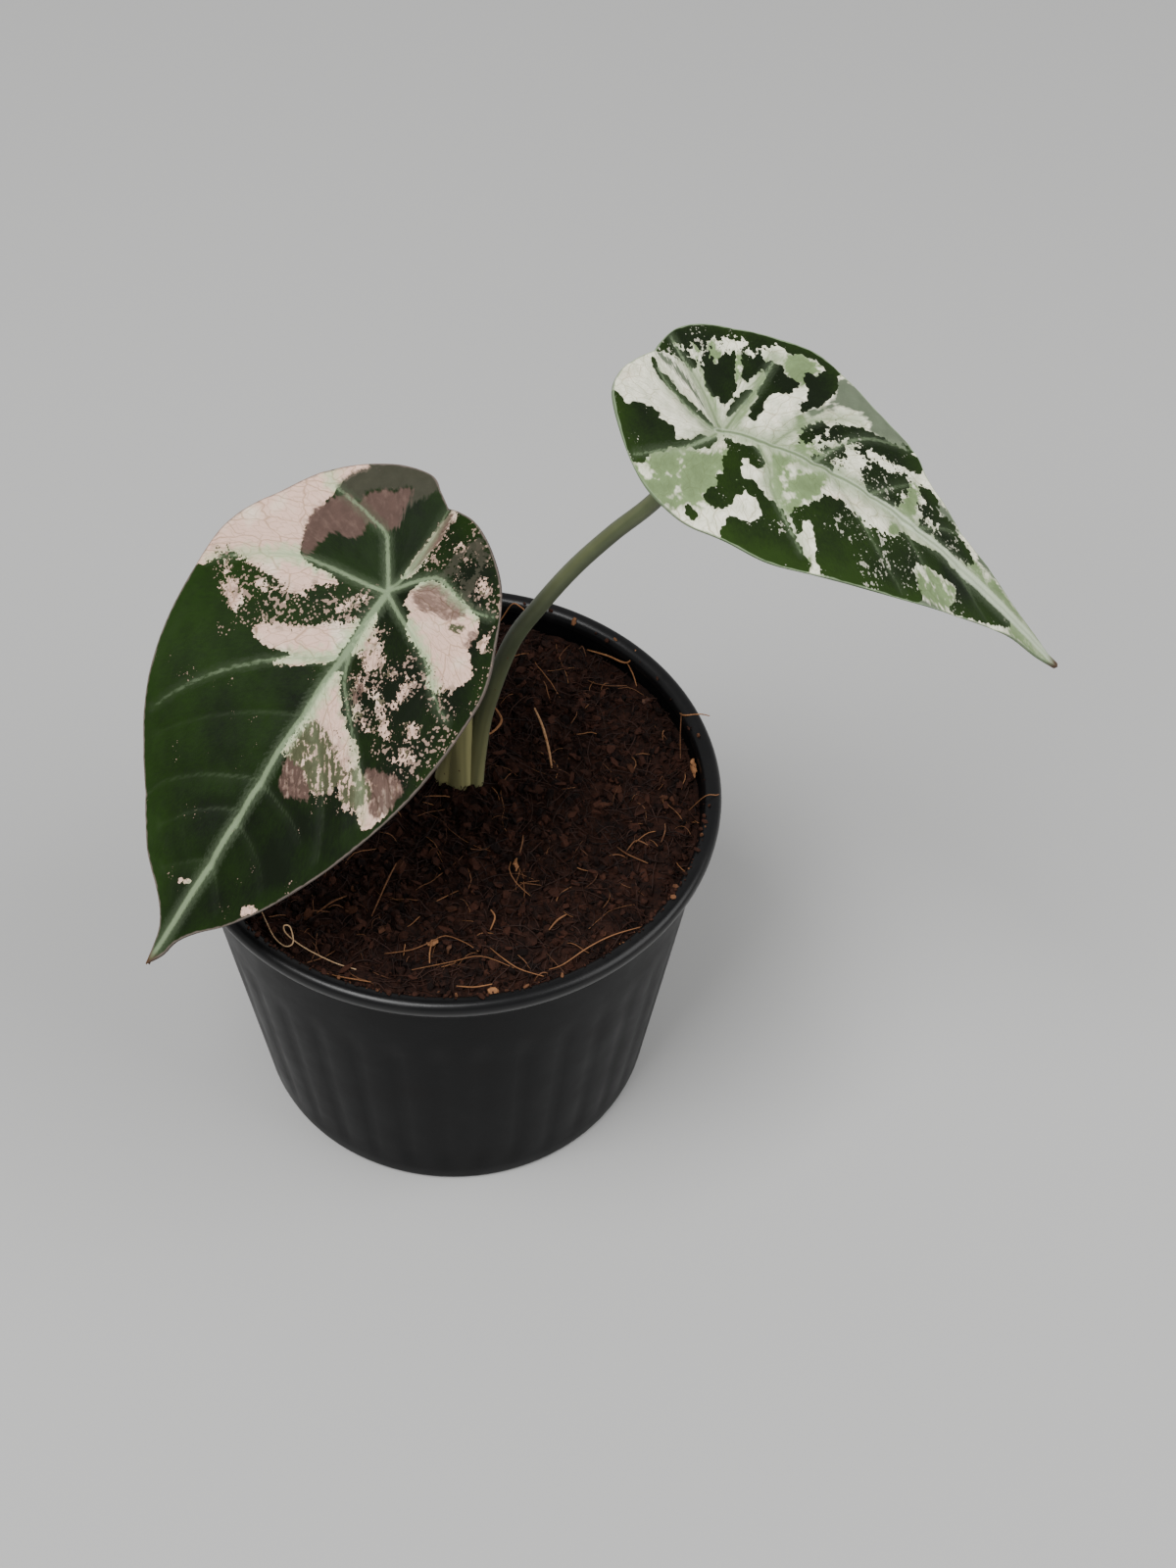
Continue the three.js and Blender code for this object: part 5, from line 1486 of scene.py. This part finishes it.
def drawn_turn(draw):
    return Euler([draw.uniform(0, 2 * math.pi) for _ in range(3)]).to_matrix().to_4x4()


def add_crumb(bm, layer, matrix, size, tone, draw, rough):
    """A small ball of a size in millimetres, whose points are pushed about by up to a share of it."""
    made = bmesh.ops.create_icosphere(bm, subdivisions=1, radius=size * MM, matrix=matrix)
    for vert in made["verts"]:
        if rough:
            vert.co += Vector([draw.uniform(-rough, rough) * size * MM for _ in range(3)])
        vert[layer] = tone


def crumb_batches(draw, reach, soil):
    """The grains of pith, most of them small and dark."""
    batches = []
    for start in range(0, soil.crumbs, CRUMBS_AT_ONCE):
        batch, layer = toned_bmesh()
        for _ in range(min(CRUMBS_AT_ONCE, soil.crumbs - start)):
            x, y = drawn_spot(draw, reach - 1.2)
            size = 0.3 + 0.8 * draw.random() ** 2.6
            shape = drawn_shape(draw, (0.8, 1.7), (0.6, 1.0), (0.4, 0.8))
            spin = drawn_turn(draw)
            height = soil_height(x, y, soil) / MM + draw.uniform(-0.25, 0.6) * size
            place = Matrix.Translation(Vector((x, y, height)) * MM) @ spin @ shape
            plain = draw.random() < 0.975 or size > 0.55
            tone = draw.uniform(-0.25, 0.25) if plain else draw.uniform(0.35, 0.6)
            add_crumb(batch, layer, place, size, tone, draw, 0.3)
        batches.append(batch)
    return batches


def flake_batch(draw, reach, soil):
    """The flat flakes, which lie nearly level."""
    batch, layer = toned_bmesh()
    for _ in range(soil.flakes):
        x, y = drawn_spot(draw, reach - 2.4)
        size = draw.uniform(0.5, 1.25)
        tilt = Euler((draw.uniform(-0.6, 0.6), draw.uniform(-0.6, 0.6), draw.uniform(0, 2 * math.pi)))
        shape = drawn_shape(draw, (1.0, 1.9), (0.6, 1.0), (0.2, 0.36))
        height = soil_height(x, y, soil) / MM + draw.uniform(0.2, 0.7)
        place = Matrix.Translation(Vector((x, y, height)) * MM) @ tilt.to_matrix().to_4x4() @ shape
        add_crumb(batch, layer, place, size, draw.uniform(0.05, 0.5), draw, 0.24)
    return batch


def rim_bits(draw, pot):
    """The bits that lie on the rim's inner edge, most of them at the front."""
    bits, layer = toned_bmesh()
    for _ in range(RIM_CRUMBS):
        turn = math.radians(draw.uniform(-168, -8) if draw.random() < 0.8 else draw.uniform(-8, 192))
        size = 0.16 + 0.5 * draw.random() ** 3
        radius = draw.uniform(*RIM_EDGE)
        seat = pot.height - RIM_EDGE_DROP + RIM_EDGE_SLOPE * (radius - RIM_EDGE[0]) + 0.3 * size * MM
        place = Matrix.Translation((radius * MM * math.cos(turn), radius * MM * math.sin(turn), seat))
        shape = drawn_shape(draw, (0.8, 1.7), (0.7, 1.1), (0.6, 0.95))
        spin = drawn_turn(draw)
        tone = draw.uniform(0.0, 0.35) if draw.random() < 0.8 else draw.uniform(0.4, 0.75)
        add_crumb(bits, layer, place @ spin @ shape, size, tone, draw, 0)
    return bits


def husk_bmesh(soil):
    """The few larger husks, each a crooked flat piece."""
    bm, layer = toned_bmesh()
    noise.seed_set(HUSK_SEED)
    for husk in HUSKS:
        x, y, over = husk["at"]
        place = Matrix.Translation((x * MM, y * MM, soil_height(x, y, soil) + over * MM))
        place = place @ Matrix.Rotation(math.radians(husk["turn"]), 4, "Z")
        place = place @ Matrix.Rotation(0.3, 4, "X") @ Matrix.Diagonal((*scaled(husk["size"], MM), 1))
        made = bmesh.ops.create_icosphere(bm, subdivisions=3, radius=0.5, matrix=place)
        for vert in made["verts"]:
            vert.co += 0.0006 * noise.noise_vector(vert.co / MM * 1.1)
            vert[layer] = husk["tone"]
    return bm


def add_fine_fibre(batch, layer, draw, wall, soil):
    """A short crooked fibre that starts anywhere on the soil and turns back at the wall."""
    x, y = drawn_spot(draw, wall)
    inward = math.atan2(y, x)
    heading = 2 * math.pi * draw.random()
    bend = draw.uniform(-0.22, 0.22)
    length = draw.uniform(1.8, 6.0) if draw.random() < 0.8 else draw.uniform(6.0, 13)
    rise = draw.uniform(0.1, 0.9)
    centres = []
    for step in range(FIBRE_STEPS + 1):
        height = soil_height(x, y, soil) / MM + 0.1 + rise * math.sin(math.pi * step / FIBRE_STEPS)
        centres.append(Vector((x, y, height)) * MM)
        if math.hypot(x, y) < wall:
            x += length / FIBRE_STEPS * math.cos(heading)
            y += length / FIBRE_STEPS * math.sin(heading)
        else:
            heading += math.pi * 0.6
            x -= 0.4 * math.cos(inward)
            y -= 0.4 * math.sin(inward)
        heading += bend + draw.uniform(-0.25, 0.25)
    thick = draw.uniform(0.05, 0.12) * MM
    tone = draw.uniform(0.05, 0.44) if draw.random() < 0.9 else draw.uniform(0.48, 0.74)
    add_bar(batch, centres, [thick] * (FIBRE_STEPS + 1), 4, layer, tone)


def long_fibre_bmesh(soil):
    """The long loose fibres, thinner towards both ends."""
    bm, layer = toned_bmesh()
    for thickness, tone, points in LOOSE_FIBRES:
        path = [(x, y, soil_height(x, y, soil) / MM + over) for x, y, over in points]
        centres = smooth_path(path, 5) * MM
        share = np.clip(np.linspace(0, 1, len(centres)), 0.06, 0.94)
        radii = 0.48 * thickness * MM * (0.45 + 0.55 * np.sin(math.pi * share) ** 0.5)
        add_bar(bm, centres, radii, 8, layer, tone)
    bmesh.ops.recalc_face_normals(bm, faces=bm.faces)
    return bm


# Operators


class ALOCASIA_OT_pot(bpy.types.Operator):
    """Make the nursery pot with its rolled rim, flutes and drain holes"""

    bl_idname = "alocasia.pot"
    bl_label = "Pot"

    def execute(self, context):
        pot = context.scene.alocasia_pot
        plastic = pot_material(pot, "pot_wall_plastic", 0.04)
        piece = finish_piece("pot_shell", pot_bmesh(pot), plastic, "pot")
        piece.data.materials.append(pot_material(pot, "pot_rim_plastic", 0.32))
        cut(piece, pot_drills(pot))
        piece.data.set_sharp_from_angle(angle=math.radians(40))
        return {"FINISHED"}


class ALOCASIA_OT_soil(bpy.types.Operator):
    """Make the coir plug with its crumbs, flakes and husks, and the bits on the rim"""

    bl_idname = "alocasia.soil"
    bl_label = "Soil"

    def execute(self, context):
        soil = context.scene.alocasia_soil
        pot = context.scene.alocasia_pot
        pith = soil_material(soil)
        wall = pot_radius(soil.level, pot) - pot.wall - SOIL_GAP
        finish_piece("soil_bed", soil_bed(soil, pot, wall), pith, "soil", sharp=0)
        draw = Random(CRUMB_SEED)
        batches = crumb_batches(draw, wall / MM, soil) + [flake_batch(draw, wall / MM, soil)]
        finish_piece("soil_crumbs", gather(batches), pith, "soil", sharp=30)
        finish_piece("rim_crumbs", rim_bits(draw, pot), pith, sharp=30)
        finish_piece("soil_husks", husk_bmesh(soil), fibre_material(soil), sharp=0)
        return {"FINISHED"}


class ALOCASIA_OT_fibres(bpy.types.Operator):
    """Make the coir fibres, the fine ones by a seeded draw and the long ones from the list"""

    bl_idname = "alocasia.fibres"
    bl_label = "Fibres"

    def execute(self, context):
        soil = context.scene.alocasia_soil
        wall = pot_radius(soil.level, context.scene.alocasia_pot) / MM - 2.2
        draw = Random(FIBRE_SEED)
        batches = []
        for start in range(0, soil.fibres, FIBRES_AT_ONCE):
            batch, layer = toned_bmesh()
            for _ in range(min(FIBRES_AT_ONCE, soil.fibres - start)):
                add_fine_fibre(batch, layer, draw, wall, soil)
            batches.append(batch)
        strands = fibre_material(soil)
        finish_piece("soil_fibres", gather(batches), strands, sharp=0)
        finish_piece("soil_long_fibres", long_fibre_bmesh(soil), strands, sharp=0)
        return {"FINISHED"}


class ALOCASIA_OT_stems(bpy.types.Operator):
    """Make the two leaf stems from the soil up to the blades"""

    bl_idname = "alocasia.stems"
    bl_label = "Stems"

    def execute(self, context):
        skin = stem_material(context.scene.alocasia_stem)
        for name, stem in STEMS.items():
            finish_piece(name + "_skin", stem_bmesh(stem), skin, name, sharp=60)
        return {"FINISHED"}


class ALOCASIA_OT_leaves(bpy.types.Operator):
    """Make the two variegated blades with their veins"""

    bl_idname = "alocasia.leaves"
    bl_label = "Leaves"

    def execute(self, context):
        settings = context.scene.alocasia_leaf
        looks = leaf_looks(settings)
        for name, blade in BLADES.items():
            tissue = LeafGraph(name + "_tissue", settings, looks[name]).tissue()
            bm = blade_bmesh(name, blade, settings)
            piece = finish_piece(name + "_blade", bm, tissue, name, sharp=50)
            mesh = piece.data
            flat = np.empty(len(mesh.vertices) * 3, np.float32)
            mesh.attributes["leaf_mm"].data.foreach_get("vector", flat)
            places = flat.reshape(-1, 3)[:, :2].astype(float)
            for field, values in blade_fields(places, name, blade).items():
                add_values(mesh, field, values)
        return {"FINISHED"}


class ALOCASIA_OT_tuber(bpy.types.Operator):
    """Give the tuber under the soil its skin"""

    bl_idname = "alocasia.tuber"
    bl_label = "Tuber"

    def execute(self, context):
        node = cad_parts["tuber"]
        node.data.materials.clear()
        node.data.materials.append(tuber_material())
        return {"FINISHED"}


class ALOCASIA_OT_stage(bpy.types.Operator):
    """Make the plain floor, the soft lights and the camera"""

    bl_idname = "alocasia.stage"
    bl_label = "Stage"

    def execute(self, context):
        stage = context.scene.alocasia_stage
        self.plain_floor(context, stage)
        self.soft_light(context, "key_light", stage.key, 0.7, (-0.4, -0.45, 1.2), (0.02, 0, 0.12))
        self.soft_light(context, "fill_light", stage.fill, 0.9, (0.9, -0.2, 0.8), (0, 0, 0.1))
        world = bpy.data.worlds.new("studio_sky")
        world.use_nodes = True
        sky = world.node_tree.nodes["Background"]
        sky.inputs["Color"].default_value = (1, 1, 1, 1)
        sky.inputs["Strength"].default_value = stage.sky
        context.scene.world = world
        self.camera(context)
        return {"FINISHED"}

    @staticmethod
    def plain_floor(context, stage):
        bm = bmesh.new()
        bmesh.ops.create_grid(bm, x_segments=2, y_segments=2, size=FLOOR_SIZE)
        mesh = bpy.data.meshes.new("studio_floor")
        bm.to_mesh(mesh)
        bm.free()
        mesh.materials.append(floor_material(stage))
        floor = bpy.data.objects.new("studio_floor", mesh)
        context.scene.collection.objects.link(floor)

    @staticmethod
    def soft_light(context, name, power, size, place, target):
        data = bpy.data.lights.new(name, "AREA")
        data.shape = "SQUARE"
        data.size = size
        data.energy = power
        light = bpy.data.objects.new(name, data)
        light.location = place
        aim = Vector(target) - Vector(place)
        light.rotation_euler = aim.to_track_quat("-Z", "Y").to_euler()
        context.scene.collection.objects.link(light)

    @staticmethod
    def camera(context):
        data = bpy.data.cameras.new("camera")
        data.sensor_fit = "VERTICAL"
        data.sensor_height = FRAME_HEIGHT
        data.lens = CAMERA_LENS
        data.clip_start = 0.01
        camera = bpy.data.objects.new("camera", data)
        ahead = Vector((0, math.cos(CAMERA_PITCH), -math.sin(CAMERA_PITCH)))
        level = Vector((1, 0, 0))
        down = ahead.cross(level)
        tilt_cos, tilt_sin = math.cos(CAMERA_ROLL), math.sin(CAMERA_ROLL)
        right = tilt_cos * level + tilt_sin * down
        down = tilt_cos * down - tilt_sin * level
        turn = Matrix((right, -down, -ahead)).transposed().to_4x4()
        camera.matrix_world = Matrix.Translation(CAMERA_PLACE) @ turn
        context.scene.collection.objects.link(camera)
        context.scene.camera = camera


class ALOCASIA_PT_panel(bpy.types.Panel):
    """The steps that make the plant"""

    bl_idname = "ALOCASIA_PT_panel"
    bl_label = "Potted alocasia"
    bl_space_type = "VIEW_3D"
    bl_region_type = "UI"
    bl_category = "Alocasia"

    def draw(self, context):
        for step in STEPS:
            self.layout.operator(step.bl_idname)


STEPS = (
    ALOCASIA_OT_stage,
    ALOCASIA_OT_pot,
    ALOCASIA_OT_soil,
    ALOCASIA_OT_fibres,
    ALOCASIA_OT_tuber,
    ALOCASIA_OT_stems,
    ALOCASIA_OT_leaves,
)
SETTINGS = {
    "alocasia_pot": PotSettings,
    "alocasia_soil": SoilSettings,
    "alocasia_stem": StemSettings,
    "alocasia_leaf": LeafSettings,
    "alocasia_stage": StageSettings,
}


def register():
    for group in SETTINGS.values():
        bpy.utils.register_class(group)
    for name, group in SETTINGS.items():
        setattr(bpy.types.Scene, name, PointerProperty(type=group))
    for step in STEPS:
        bpy.utils.register_class(step)
    bpy.utils.register_class(ALOCASIA_PT_panel)


def unregister():
    bpy.utils.unregister_class(ALOCASIA_PT_panel)
    for step in reversed(STEPS):
        bpy.utils.unregister_class(step)
    for name, group in reversed(SETTINGS.items()):
        delattr(bpy.types.Scene, name)
        bpy.utils.unregister_class(group)


def main():
    register()
    bpy.ops.alocasia.stage()
    bpy.ops.alocasia.pot()
    bpy.ops.alocasia.soil()
    bpy.ops.alocasia.fibres()
    bpy.ops.alocasia.tuber()
    bpy.ops.alocasia.stems()
    bpy.ops.alocasia.leaves()


if __name__ == "__main__":
    main()
